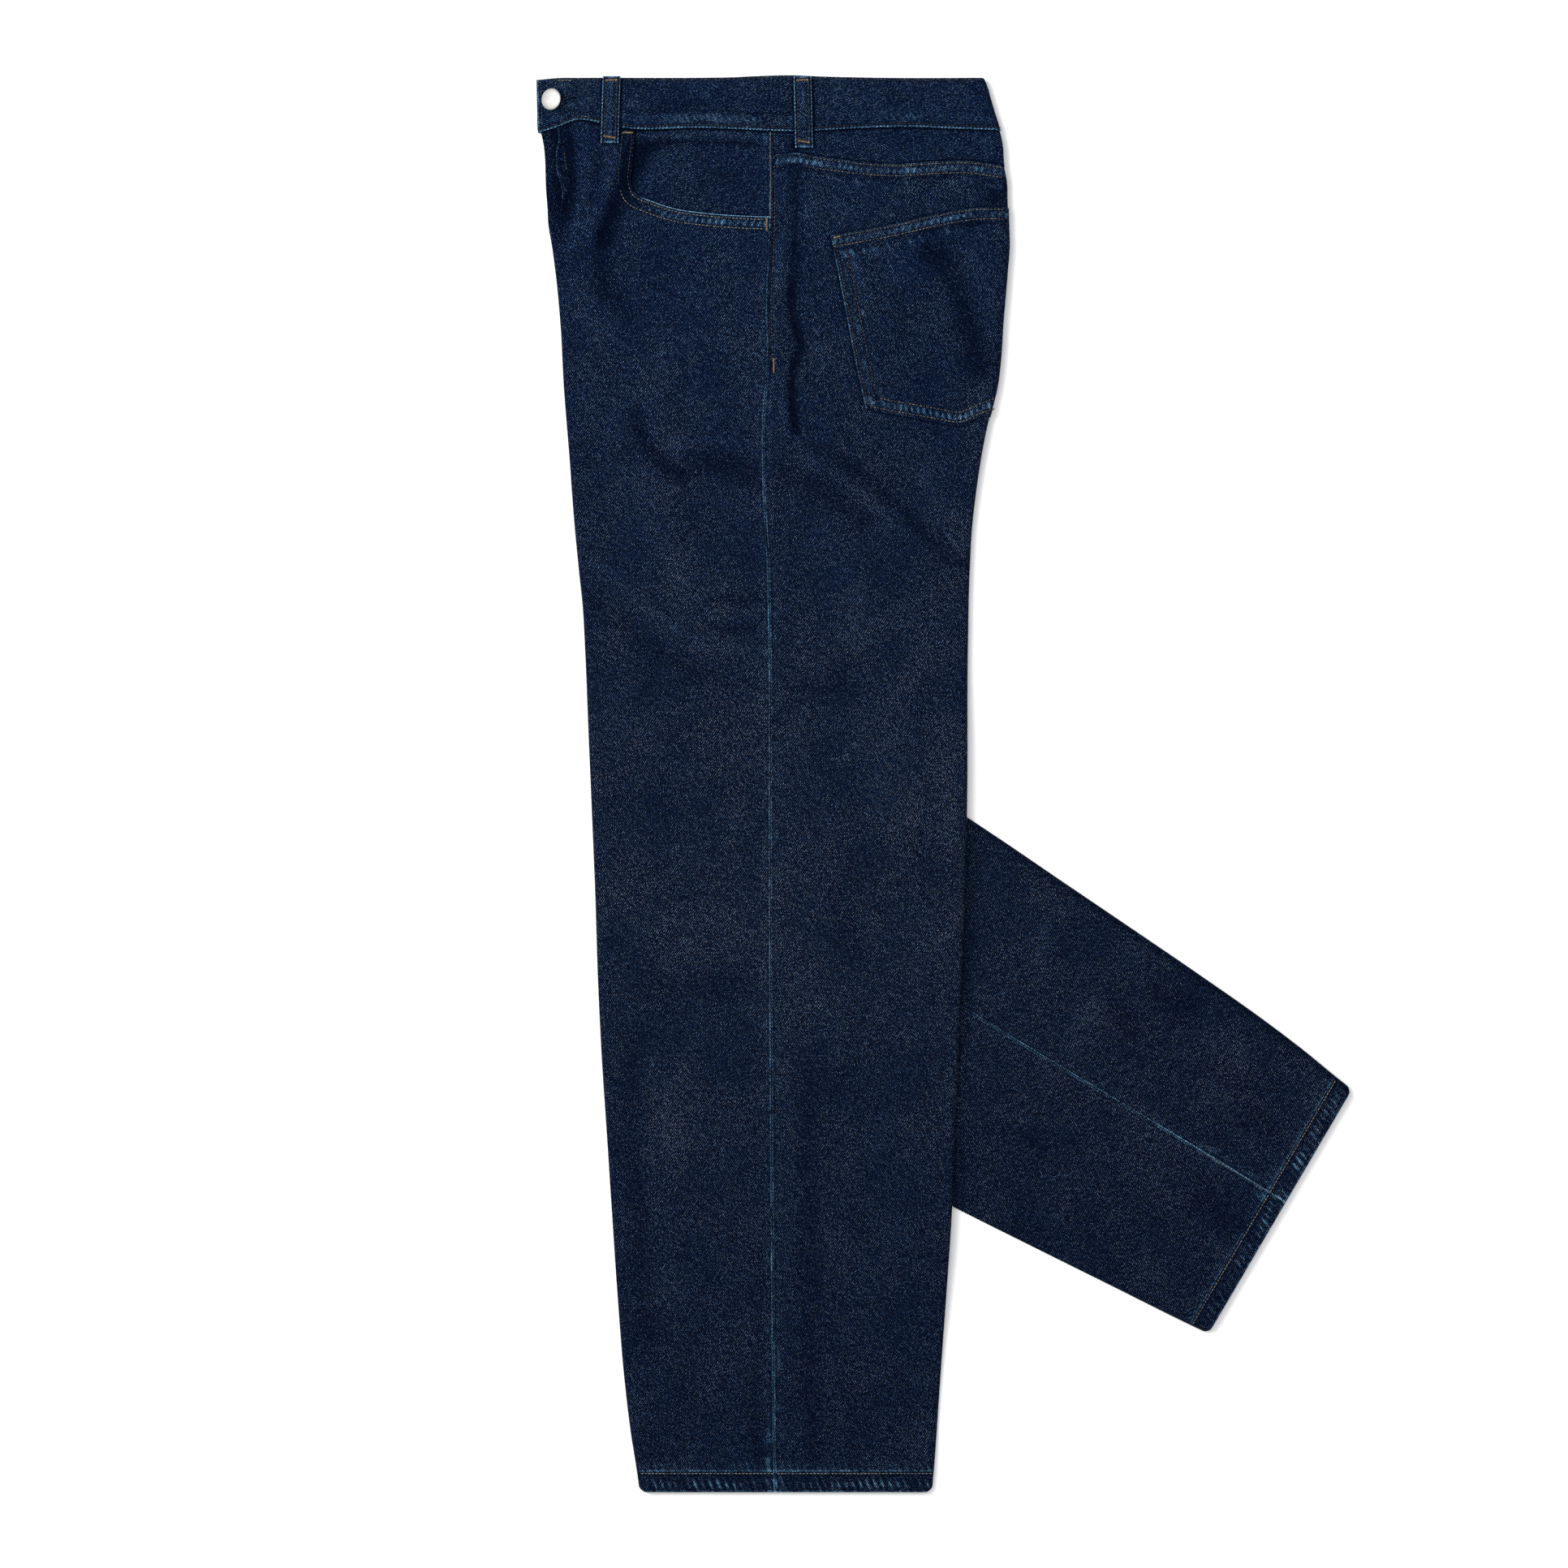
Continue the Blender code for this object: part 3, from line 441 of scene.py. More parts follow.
def inseam(down):
    return mix(INSEAM_AT_CROTCH, INSEAM_AT_HEM, (down - CROTCH) / (OUTSEAM - CROTCH))


def half(down):
    """Half the height of a flattened leg."""
    start, end = HEM_RAMP
    return mix(LEG_HALF, HEM_HALF, rise(down, start, end - start))


def beyond_fold(across, down):
    """(along, beyond): a point's place along the diagonal fold, and how far past it in the unfolded leg."""
    x, y = across - FOLD_POINT[0], down - FOLD_POINT[1]
    return x * FOLD_SIN + y * FOLD_COS, y * FOLD_SIN - x * FOLD_COS


def at_fold(along, reach):
    """The place in the pattern that is `along` the diagonal fold and `reach` before it."""
    x = FOLD_POINT[0] + along * FOLD_SIN - reach * FOLD_COS
    return x, FOLD_POINT[1] + along * FOLD_COS + reach * FOLD_SIN


def fold_crossing(edge):
    """The level at which the diagonal fold leaves the leg at its front or back edge."""
    levels = np.linspace(CROTCH, OUTSEAM, 4000)
    beyond = beyond_fold(outline(edge, levels), levels)[1]
    return float(levels[np.argmax(beyond > 0)])


def climb(across, down):
    """0 on the surface, 1 where the upper layers lie on the folded lower leg.

    That leg's upper border is its front edge, mirrored by the diagonal fold.
    """
    start, end = FOLD_FRONT_LEVELS
    front_lean = math.atan2(outline("front", end) - outline("front", start), end - start)
    lean = 2 * FOLD_LEAN - front_lean
    x, y = across - FOLD_POINT[0], down - FOLD_POINT[1]
    above_edge = x * math.cos(lean) - y * math.sin(lean)
    return fall(above_edge, CLIMB_END, CLIMB_START - CLIMB_END)


def right_middle(across, down):
    """Height of the flattened right leg's middle, before the diagonal fold."""
    return LEG_HALF + straight(STAND_OFF, down) + STACK * climb(across, down)


def left_middle(across, down):
    """The same for the left leg, which comes down to the surface past the fold."""
    beyond = beyond_fold(across, down)[1]
    lowered = rise(beyond, DESCENT_START, DESCENT_END - DESCENT_START)
    past = mix(LEG_HALF + 2 * STACK, half(down), lowered)
    return np.where(beyond < 0, right_middle(across, down) + STACK, past)


def drawn_in(across, down):
    """Past the diagonal fold the right leg is a little narrower than it was cut, its front drawn in."""
    beyond = beyond_fold(across, down)[1]
    back = outline("back", down)
    share = np.clip((back - across) / (back - outline("front", down)), 0, 1)
    return across + LEG_DRAWN_IN * share * rise(beyond, FOLD_TURN, 120)


def laid_place(across, down):
    """Where a point of the right leg lies, seen from above: it is mirrored past the diagonal fold."""
    along, beyond = beyond_fold(drawn_in(across, down), down)
    return at_fold(along, np.minimum(beyond, FOLD_TURN - beyond))


def shown_share(across, down, soft):
    """0 where the right leg's lower part is covered, 1 where it has come out beside the left leg."""
    x, y = laid_place(across, down)
    beyond = beyond_fold(across, down)[1]
    return np.where(beyond > FOLD_TURN, rise(x, outline("back", y) + 3, soft), 0.0)


def place_left(across, down, out):
    """Where a point of the left leg is. Its pattern lies as it was drawn."""
    return stacked(across, -down, left_middle(across, down) + out)


def place_right(across, down, out):
    """The right side is upside down, and its leg turns over itself at the diagonal fold."""
    along, beyond = beyond_fold(drawn_in(across, down), down)
    turn = np.clip(beyond / FOLD_RADIUS, 0, math.pi)
    past = beyond >= FOLD_TURN
    reach = np.where(past, FOLD_TURN - beyond, (FOLD_RADIUS - out) * np.sin(turn))
    turned = LEG_HALF + STACK / 2 + (FOLD_RADIUS - out) * np.cos(turn)
    height = np.where(past, half(down) + out, turned)
    x, y = at_fold(along, reach)
    before = beyond <= 0
    z = np.where(before, right_middle(across, down) - out, height)
    return stacked(np.where(before, across, x), -np.where(before, down, y), z)


PLACE = {"left": place_left, "right": place_right}


def frame_shift():
    """What takes the pattern's origin to its place in the frame, in millimetres."""
    low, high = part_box("side_left_loop")
    return np.array((low.x / MM - (LOOPS[1][1] - LOOP_WIDTH / 2), high.y / MM, 0.0))


SHIFT = frame_shift()


# ---- the cloth's surface --------------------------------------------------------------------------------
def puff(side, across, down):
    """How much the outer cloth stands above the CAD solid's."""
    share = rise(down, 42, 60) if side == "left" else shown_share(across, down, 26)
    return PUFF * share * mix(1, HEM_PUFF, rise(down, 1000, 70))


def roll_width(edge, down):
    """Width of the rounding along a leg's edge: hardly any at the fly, and more at the hip."""
    if edge == "front":
        return mix(1.0, ROLL, rise(down, 110, 25))
    return mix(ROLL, HIP_ROLL, rise(down, 40, 30) * fall(down, 240, 60))


def outer_base(side, across, down):
    """Height of the outer cloth without its relief, rounded towards the leg's edges."""
    high = half(down) + puff(side, across, down)
    for edge, towards in (("front", -1), ("back", 1)):
        width = roll_width(edge, down)
        past = (across - (fold_edge(edge, down) - towards * width)) * towards / width
        high = high * np.sqrt(1 - np.clip(past, 0, 0.98) ** 2)
    return high


def one_crease(height, width, points, a, d):
    """A trough or ridge of the cloth along a line, fading at both ends."""
    line = smooth_line(points, 4.0)
    length = travel_along(line)[-1]
    low, high = line.min(0) - 3 * width, line.max(0) + 3 * width
    near = (a > low[0]) & (a < high[0]) & (d > low[1]) & (d < high[1])
    made = np.zeros(np.shape(a))
    if near.any():
        away, travel, _ = distance_to(line, a[near], d[near])
        taper = min(0.3 * length, 14)
        ends = rise(travel, -2, taper) * fall(travel, length + 2 - taper, taper)
        uneven = 1 + 0.16 * noise(travel / 14, 0, len(points) + int(width))
        made[near] = height * bump(away, width * uneven) * ends
    return made


def waves(a, d, seed):
    """The cloth's small unevenness all over, softly lumpy at three sizes."""
    broad = 0.40 * noise(a / 34, d / 46, seed)
    middle = 0.13 * noise(a / 14 + d / 60, d / 18, seed + 1)
    return broad + middle + 0.06 * noise(a / 5.5, d / 6, seed + 2)


def row_groove(distance, place, depth=0.28):
    """The groove that a row of stitches is sunk into."""
    return -depth * bump(distance - place, 0.6)


def row_shade(distance, *places):
    """Painted shade in the dents that rows of stitches sit in."""
    return -0.30 * sum(bump(distance - place, 0.85) for place in places)


def puckers(travel, distance, centre, width, pitch, seed, height=0.3):
    """Short ripples across a seam, of uneven spacing, strongest `centre` away from its line."""
    wander = travel / pitch + 0.6 * noise(travel / (3 * pitch), 0.3, seed + 5)
    return height * noise(wander, 0.5 * distance / width, seed) * bump(distance - centre, width)


def rungs(travel, distance, centre, width, pitch, seed):
    """Light worn bars across a doubled edge, fairly regular along it."""
    wander = travel / pitch + 0.5 * noise(travel / (5 * pitch), 0.3, seed + 5) + 0.03 * distance
    bars = (0.5 + 0.5 * np.sin(2 * np.pi * wander)) ** 2
    strength = 0.75 + 0.5 * noise(travel / (2.5 * pitch), distance / 5, seed)
    return bars * strength * bump(distance - centre, width)


def pulls(a, d, away, centre, width, seed):
    """Short light lines that slant away from a seam, where it pulls the cloth."""
    lines = noise((a - 0.7 * d) / 2.4, (a + d) / 15, seed)
    return 0.42 * np.clip(lines - 0.1, 0, 1) * bump(away - centre, width)


def rope(travel):
    """Even beads along an edge, one for each stitch."""
    return 0.5 + 0.5 * np.sin(2 * np.pi * travel / STITCH)


def doubled_edge(travel, away, rows, step, ripples, line, patches, bars):
    """(relief, wear_and_shade) of a folded edge with two rows of stitches, and painted shade in their dents.

    It stands a step higher, given by its height and the run over which it ends. Across it go ripples
    (centre, width, pitch, seed), a worn line (strength, place, width, pitch, seed), patches (strength,
    place, width, pitch, seed) and bars (strength, centre, pitch, seed).
    """
    height, run = step
    relief = height * fall(away, 8, run) + sum(row_groove(away, row) for row in rows)
    strength, place, width, pitch, seed = line
    wear_and_shade = strength * bump(away - place, width) * (0.8 + 0.4 * noise(travel / pitch, 0.5, seed))
    strength, place, width, pitch, seed = patches
    patchy = 0.06 + 0.08 * noise(travel / pitch, away / 5, seed)
    wear_and_shade = wear_and_shade + strength * patchy * bump(away - place, width)
    strength, centre, pitch, seed = bars
    wear_and_shade = wear_and_shade + strength * rungs(travel + 0.3 * away, away, centre, 2.6, pitch, seed)
    return relief + puckers(travel, away, *ripples, 0.5), wear_and_shade + row_shade(away, *rows)


def loop_shade(a, d):
    """A painted shadow: the dark line that follows the belt loops on the cloth under them."""
    shade = np.zeros(np.shape(a))
    for _, across, lean, length in LOOPS:
        beside_loop = np.abs(a - across - lean * d) - LOOP_WIDTH / 2
        gap = np.hypot(np.maximum(beside_loop, 0), np.maximum(d - length, 0))
        shade = shade - 0.5 * bump(gap, 1.5) * rise(gap, -0.1, 0.1)
    return shade


def band_seam(a, d, seed):
    """Below the waistband: the cloth dips into the seam and ripples away from it. A painted shadow lies along
    the seam, and beside the belt loops.
    """
    away = d - through(BAND_BOTTOM, a)
    relief = -0.9 * bump(away, 0.9) + puckers(a, away, 3, 6, 6.5, seed, 0.35)
    return relief, loop_shade(a, d) - 0.4 * bump(away - 0.6, 0.9)


def side_border(a, d, name, seed):
    """Along the side seam: each border rounds down into the seam, with a worn ridge beside it.

    The seam is pressed open below the pocket, and stitched on the back's side above that. A dark line
    beside each ridge and the dent of the row are painted shade, and above the pocket so is the back's dark
    line at the seam.
    """
    away = np.abs(a - side_seam(d))
    pull = noise(d / 5.2, 0.5, seed)
    stitched = fall(d, 225, 12)
    lower = rise(d, 900, 120)
    patches = 0.7 + 0.3 * noise(d / 26, 0.2, seed + 7)
    if name in ("back", "yoke"):
        height, share = mix(0.36, 0.14, stitched), mix(0.30, -0.3, stitched)
    else:
        height, share = 0.42, mix(0.60, 0.52, stitched)
    relief = height * (1 + 0.5 * pull) * bump(away - 1.4, 1.1) - 1.0 * bump(away, 0.42)
    relief += puckers(d, away, 2.5, 4.5, 5.5, seed + 3, 0.16)
    wear_and_shade = 1.15 * share * patches * (0.8 + 0.6 * pull) * bump(away - 0.7, 0.5)
    wear_and_shade -= 0.15 * bump(away - 2.0, 0.8)
    wear_and_shade += (0.06 + 0.07 * noise(d / 4.5, 0.5, seed + 8)) * bump(away - 3.2, 3.8)
    wear_and_shade += (0.09 + 0.12 * bump(d - 235, 45)) * rungs(d, away, 3, 3.4, 4.2, seed + 9)
    wear_and_shade += 0.18 * lower * np.clip(noise(d / 9, away / 6, seed + 11), 0, 1) * bump(away - 4, 5)
    if name in ("back", "yoke"):
        relief += row_groove(away, SIDE_ROW) * stitched + 0.35 * lower * bump(away - 9, 8)
        wear_and_shade -= 0.30 * bump(away - SIDE_ROW, 0.8) * stitched
    keep = rise(d, 100, 10) if name == "front" else 1
    return relief * keep, wear_and_shade * keep


def yoke_border(a, d, name, seed):
    """The flat-felled seam below the yoke: a raised folded edge on the back panel, and two rows. Painted
    shadows lie along the seam on the yoke and below the lower row on the back panel.
    """
    away = d - through(YOKE_SEAM, a)
    if name == "yoke":
        return -0.8 * bump(away, 0.8) + puckers(a, away, -3, 4, 6, seed, 0.2), -0.5 * bump(away + 0.4, 0.9)
    line, patches = (0.32, 0.35, 0.7, 3.4, seed), (1, 5.4, 4.8, 4.2, seed + 2)
    ripples, bars = (5, 3.2, 4.6, seed + 1), (0.44, 5.6, 4.9, seed + 6)
    relief, wear_and_shade = doubled_edge(a, away, YOKE_ROWS, (0.55, 3.5), ripples, line, patches, bars)
    relief += 0.15 * bump(away - 0.6, 0.6) + puckers(a, away, 13, 5, 7, seed + 4, 0.25)
    wear_and_shade += pulls(a, d, away, 14, 4.5, seed + 8)
    wear_and_shade += 0.06 * bump(away - 2, 6) * bump(a - 12, 9) - 0.16 * bump(away - 12, 2)
    return relief, wear_and_shade


def scoop_border(a, d, seed):
    """The pocket mouth's folded and twice-stitched edge."""
    away, travel, side = distance_to(smooth_line(SCOOP, 2.0), a, d)
    away = np.where(side > 0, away, -away)
    inside = (away > -3) & (away < 30)
    level_part = rise(a, *LEVEL_PART)
    line, patches = (0.04 + 0.22 * level_part, 0.2, 0.7, 3, seed + 1), (level_part, 5.4, 4.8, 4.4, seed + 3)
    ripples, bars = (5.3, 3, 5, seed), (0.04 + 0.42 * level_part, 5.4, 5.2, seed + 6)
    relief, wear_and_shade = doubled_edge(travel, away, SCOOP_ROWS, (0.6, 4), ripples, line, patches, bars)
    relief += puckers(travel, away, 12, 4, 7, seed + 2, 0.25)
    wear_and_shade += 0.06 * level_part * rungs(travel, away, 15, 5, 7, seed + 8)
    # Where the mouth's edge runs down, the band beside it is painted darker as shade.
    wear_and_shade += (level_part - 1) * 0.17 * bump(away - 5, 5)
    return np.where(inside, relief, 0), np.where(inside, wear_and_shade, 0)


def hem_border(a, d, seed):
    """The hem: a row of stitches, a worn ridge above it, and slanting puckers down to the edge."""
    away = OUTSEAM - d
    slant = a + 0.35 * away
    pull = noise(slant / 4.3, 0.4, seed) + 0.7 * noise(slant / 8.5, 0.4, seed + 1)
    relief = 0.5 * bump(away - 17.2, 1.6) * (1 + 0.3 * noise(a / 6, 0.5, seed + 2))
    relief += row_groove(away, HEM_ROW, 0.4) + 0.42 * pull * bump(away - 7.5, 5.5)
    relief += puckers(a, away, 22, 7, 7, seed + 4, 0.22)
    wear_and_shade = 0.36 * bump(away - 16.8, 0.9) * (0.8 + 0.35 * noise(a / 5, 0.5, seed + 2))
    # The dark line just below the row of stitches is painted shade.
    wear_and_shade += 0.12 * np.clip(pull, -0.7, 1) * bump(away - 7.5, 5) - 0.2 * bump(away - 13.6, 1.0)
    wear_and_shade += 0.50 * rungs(a + 0.2 * away, away, 7, 5.0, 5.6, seed + 7) - 0.10 * bump(away - 7, 7)
    wear_and_shade += 0.20 * rungs(a + 0.2 * away, away, 21, 4.5, 5.6, seed + 7)
    wear_and_shade += 0.36 * bump(away - 0.4, 1.2) * (0.7 + 0.6 * noise(a / 3.6, 0.5, seed + 5))
    return relief, wear_and_shade


def fly_border(a, d, seed):
    """The front's open edge, worn light along its fold, with a short row of stitches beside it."""
    away = a - fold_edge("front", d)
    here = fall(d, 112, 22)
    lumps = 0.25 * noise(d / 9, away / 12, seed + 1) * bump(away, 9)
    fold = (0.16 + 0.28 * fall(d, 72, 20)) * bump(away - 0.3, 0.6) * (0.7 + 0.9 * noise(d / 2.2, 0.5, seed))
    second = 0.34 * (0.6 + 0.6 * noise(d / 3, 0.5, seed + 2)) * bump(away - 4.8, 0.7)
    # The dark band beside the fold, the dark spot near the fly's end and the dark line between the two light
    # lines are painted shade.
    wear_and_shade = (fold - 0.26 * bump(away - 7, 6)) * here - 0.35 * bump(away - 2, 3.5) * bump(d - 104, 10)
    wear_and_shade += (second - 0.3 * bump(away - 2.6, 1.3)) * fall(d, 68, 12)
    return (0.45 * bump(away - 2.4, 2.2) + lumps) * here, wear_and_shade


def low_edge(a):
    """Level of the back pocket's lower edge."""
    return through(POCKET_LOW_EDGE, a)


def pocket_border(a, d, seed):
    """The back pocket's hem along its top, and the rows inside its other edges. A painted shadow lies below
    the hem's lower row, and the rows' dents hold painted shade.
    """
    top = d - through(POCKET_TOP_EDGE, a)
    side, travel, _ = distance_to(smooth_line(POCKET_SIDE_EDGE), a, d)
    line, patches = (0.32, 0.2, 0.8, 3, seed + 1), (1, 5.2, 4.6, 4.2, seed + 2)
    ripples, bars = (5, 3, 5, seed), (0.42, 5.2, 5, seed + 8)
    relief, wear_and_shade = doubled_edge(a, top, POCKET_TOP_ROWS, (0.5, 4), ripples, line, patches, bars)
    wear_and_shade += pulls(a, d, top, 14.5, 5, seed + 10) - 0.20 * bump(top - 12, 2)
    wear_and_shade += 0.6 * pulls(a, d, side, 13, 5, seed + 11) * rise(top, 14, 4)
    below = rise(top, 9, 3)
    for away, at, edge, strength in ((side, travel, 0.42, 0.24), (low_edge(a) - d, a, 0.22, 0.50)):
        relief += 0.3 * fall(away, 3, 3) + row_groove(away, POCKET_ROWS[0])
        relief += row_groove(away, POCKET_ROWS[1]) * below + puckers(at, away, 6, 4, 5, seed + 4, 0.26)
        worn = 0.75 + 0.5 * noise(at / 3, 0.5, seed + 5)
        wear_and_shade += edge * bump(away - 0.2, 0.7) * worn * mix(0.4, 1, below)
        wear_and_shade += (0.06 + 0.10 * noise(at / 3.4, away / 8, seed + 6)) * bump(away - 5.5, 4) * below
        bars = strength * rungs(at, away, 6.2, 3.0, 4.6, seed + 9)
        wear_and_shade += (bars + row_shade(away, *POCKET_ROWS)) * below
    return relief, wear_and_shade


def pocket_dent_and_shadow(a, d):
    """The back panel shows the pocket's edges as a slight drop and a painted shadow beside them."""
    side = distance_to(smooth_line(POCKET_SIDE_EDGE), a, d)[0]
    top = through(POCKET_TOP_EDGE, a) - d
    low = d - low_edge(a)
    over = np.where((a > POCKET_SIDE_EDGE[0][0]) & (top > -1), bump(top, 1.1), 0)
    under = np.where((a > POCKET_SIDE_EDGE[-1][0]) & (low > -1), bump(low, 1.3), 0)
    return -0.3 * bump(side, 3), -0.5 * np.maximum(np.maximum(over, under), bump(side, 1.2))


BORDERS = {
    "front": (band_seam, scoop_border, hem_border, fly_border),
    "back": (hem_border,),
    "yoke": (band_seam,),
    "pocket": (pocket_border,),
    "facing": (band_seam,),
}


def relief_of(name, side, a, d):
    """(relief, wear_and_shade) of a piece's outer cloth: worn places lighter, painted shade darker."""
    seed = SEEDS[name] + (RIGHT_SEED if side == "right" else 0)
    lumps = waves(a, d, seed) * rise(d, 36, 25)
    creases = sum(one_crease(*crease, a, d) for panels, *crease in CREASES if name in panels.split())
    if side == "right":
        x, y = laid_place(a, d)
        shown = shown_share(a, d, 6)
        folds = sum(one_crease(*crease, x, y) for crease in LEG_CREASES)
        creases = mix(creases, folds, rise(d, 380, 60) * (shown > 0))
    relief = lumps + creases
    # Ridges of creases and lumps are lighter, as worn cloth, and troughs darker, partly as less worn cloth
    # and partly as painted shade.
    wear_and_shade = np.clip(np.where(creases < 0, 0.17, 0.10) * creases + 0.04 * lumps, -0.45, 0.12)
    if side == "right":
        # Painted shade on the lower right leg where it comes out: the left leg's shadow beside that leg's
        # back edge, a dark rim along its own front fold, and a slight darkening of the whole shown part. Its
        # own creases are lighter on ridges and darker in troughs, as above.
        shade = 0.02 + 0.45 * bump(x - outline("back", y), 6) + 0.30 * bump(a - fold_edge("front", d), 4.5)
        seam = 0.07 * bump(np.abs(a - side_seam(d)) - 0.9, 0.6)
        wear_and_shade = wear_and_shade + np.clip(0.06 * folds, -0.04, 0.06) + shown * (seam - shade)
    borders = [border(a, d, seed + 10) for border in BORDERS[name]]
    if name in ("front", "back", "yoke"):
        borders.append(side_border(a, d, name, seed + 20))
    if name in ("back", "yoke"):
        borders.append(yoke_border(a, d, name, seed + 30))
    if name == "back":
        borders.append(pocket_dent_and_shadow(a, d))
    for more, worn in borders:
        relief, wear_and_shade = relief + more, wear_and_shade + worn
    if side == "right":
        room = mix(0.9 * straight(STAND_OFF, d), 0.15, rise(d, 290, 30))
        hidden = np.clip(relief, -1.1, np.maximum(room, 0.1))
        relief = mix(hidden, relief, shown)
    return relief, wear_and_shade


# ---- meshes ---------------------------------------------------------------------------------------------
def grid_faces(rows, columns, flip, wrap=False):
    """Quads of a grid, as an array of point numbers. `wrap` joins the last column to the first."""
    number = np.arange(rows * columns).reshape(rows, columns)
    if wrap:
        number = np.concatenate((number, number[:, :1]), 1)
    corners = (number[:-1, :-1], number[:-1, 1:], number[1:, 1:], number[1:, :-1])
    faces = np.stack([corner.ravel() for corner in corners], 1)
    return faces[:, ::-1] if flip else faces


def place_in_scene(name, data):
    made = bpy.data.objects.new(name, data)
    bpy.context.scene.collection.objects.link(made)
    return made


def mesh_piece(name, points, faces, cloth, wear_and_shade, look):
    """A piece on the root body. `points` and `cloth`, its places in the weave, are in millimetres."""
    mesh = bpy.data.meshes.new(name)
    faces = faces if isinstance(faces, list) else faces.tolist()
    mesh.from_pydata(((points + SHIFT) * MM).tolist(), [], faces)
    mesh.shade_smooth()
    for key, kind, values in (("cloth", "FLOAT_VECTOR", stacked(*cloth.T, 0)), ("wear_and_shade", "FLOAT", wear_and_shade)):
        attribute = mesh.attributes.new(key, kind, "POINT")
        field = "value" if kind == "FLOAT" else "vector"
        attribute.data.foreach_set(field, np.asarray(values, np.float32).ravel())
    mesh.materials.append(look)
    made = place_in_scene(name, mesh)
    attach(made, "root")
    return made


def cloth_piece(name, node, points, faces, cloth, wear_and_shade, look, flat, area=None):
    """A sheet of denim that stands for a CAD node. `flat` and `area`, its cut's sizes in metres, are not
    used.
    """
    made = mesh_piece(name, points, faces, cloth, wear_and_shade, look)
    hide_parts(node)


def weave(x, y, turn):
    """Places in the weave of cloth whose cut is turned by an angle in degrees."""
    sin, cos = math.sin(math.radians(turn)), math.cos(math.radians(turn))
    return stacked(x * cos + y * sin, -x * sin + y * cos).reshape(-1, 2)


def cut_of(side, name, across, height, down):
    """(places in the weave, (width, length), area) of the cut that a grid of cloth is made from.

    Across it goes the way along the cloth from the side seam. The sizes are in metres.
    """
    run = np.hypot(np.diff(across, axis=1), np.diff(height, axis=1))
    step = np.abs(np.diff(down, axis=0))
    towards = np.sign(across[:, 1:2] - across[:, :1])
    along = across[:, :1] + towards * np.pad(np.cumsum(run, 1), ((0, 0), (1, 0)))
    cloth = weave(-along if side == "right" else along, -down, CUT_TURNS[name])
    width, length = run.sum(1).max() * MM, step.sum(0).max() * MM
    area = (run[:-1] * (step[:, 1:] + step[:, :-1]) / 2).sum() * MM * MM
    return cloth, (width, length), min(area, width * length)


def grid_piece(side, name, node, across, height, down, out, wear_and_shade, look):
    """A sheet on one side's leg, from a grid of the pattern. `height` is without relief, `out` with it."""
    flip = (side == "right") != (name == "facing")
    points = PLACE[side](across, down, out).reshape(-1, 3)
    cloth, flat, area = cut_of(side, name, across, height, down)
    faces = grid_faces(*across.shape, flip)
    cloth_piece(f"{side}_{name}_cloth", f"{side}_{node}", points, faces, cloth, wear_and_shade, look, flat, area)


def leg_rows(side, name):
    """Levels of a panel's rows at its front and back edges, and how far each is turned in at the hem."""
    end = OUTSEAM - HEM_ROLL
    if side == "left":
        front = back = stops(*FINE_ROWS[name], (CROTCH, 2.4), (HEM_FINE, 1.1), (end, 1))
    else:
        top = PANEL_TOPS[name][2]
        hip = stops((top, 1.5), (top + 60, 2.2), (CROTCH, 1))
        turn = FOLD_TURN * parts(8) / FOLD_SIN
        hem = stops((HEM_FINE, 1.1), (end, 1))[1:]
        rows = []
        for crossing in (fold_crossing("front"), fold_crossing("back")):
            fan, leg = mix(CROTCH, crossing, parts(89)), mix(crossing + turn[-1], HEM_FINE, parts(279))
            rows.append(np.concatenate((hip, fan, crossing + turn, leg, hem)))
        front, back = rows
    turned = parts(5) * math.pi
    inside = np.array(HEM_INSIDE)
    more = np.concatenate((end + HEM_ROLL * np.sin(turned), end - inside))
    inset = np.concatenate((0 * front, HEM_ROLL * (1 - np.cos(turned)), 0 * inside + 2 * HEM_ROLL))
    return np.concatenate((front, more)), np.concatenate((back, more)), inset


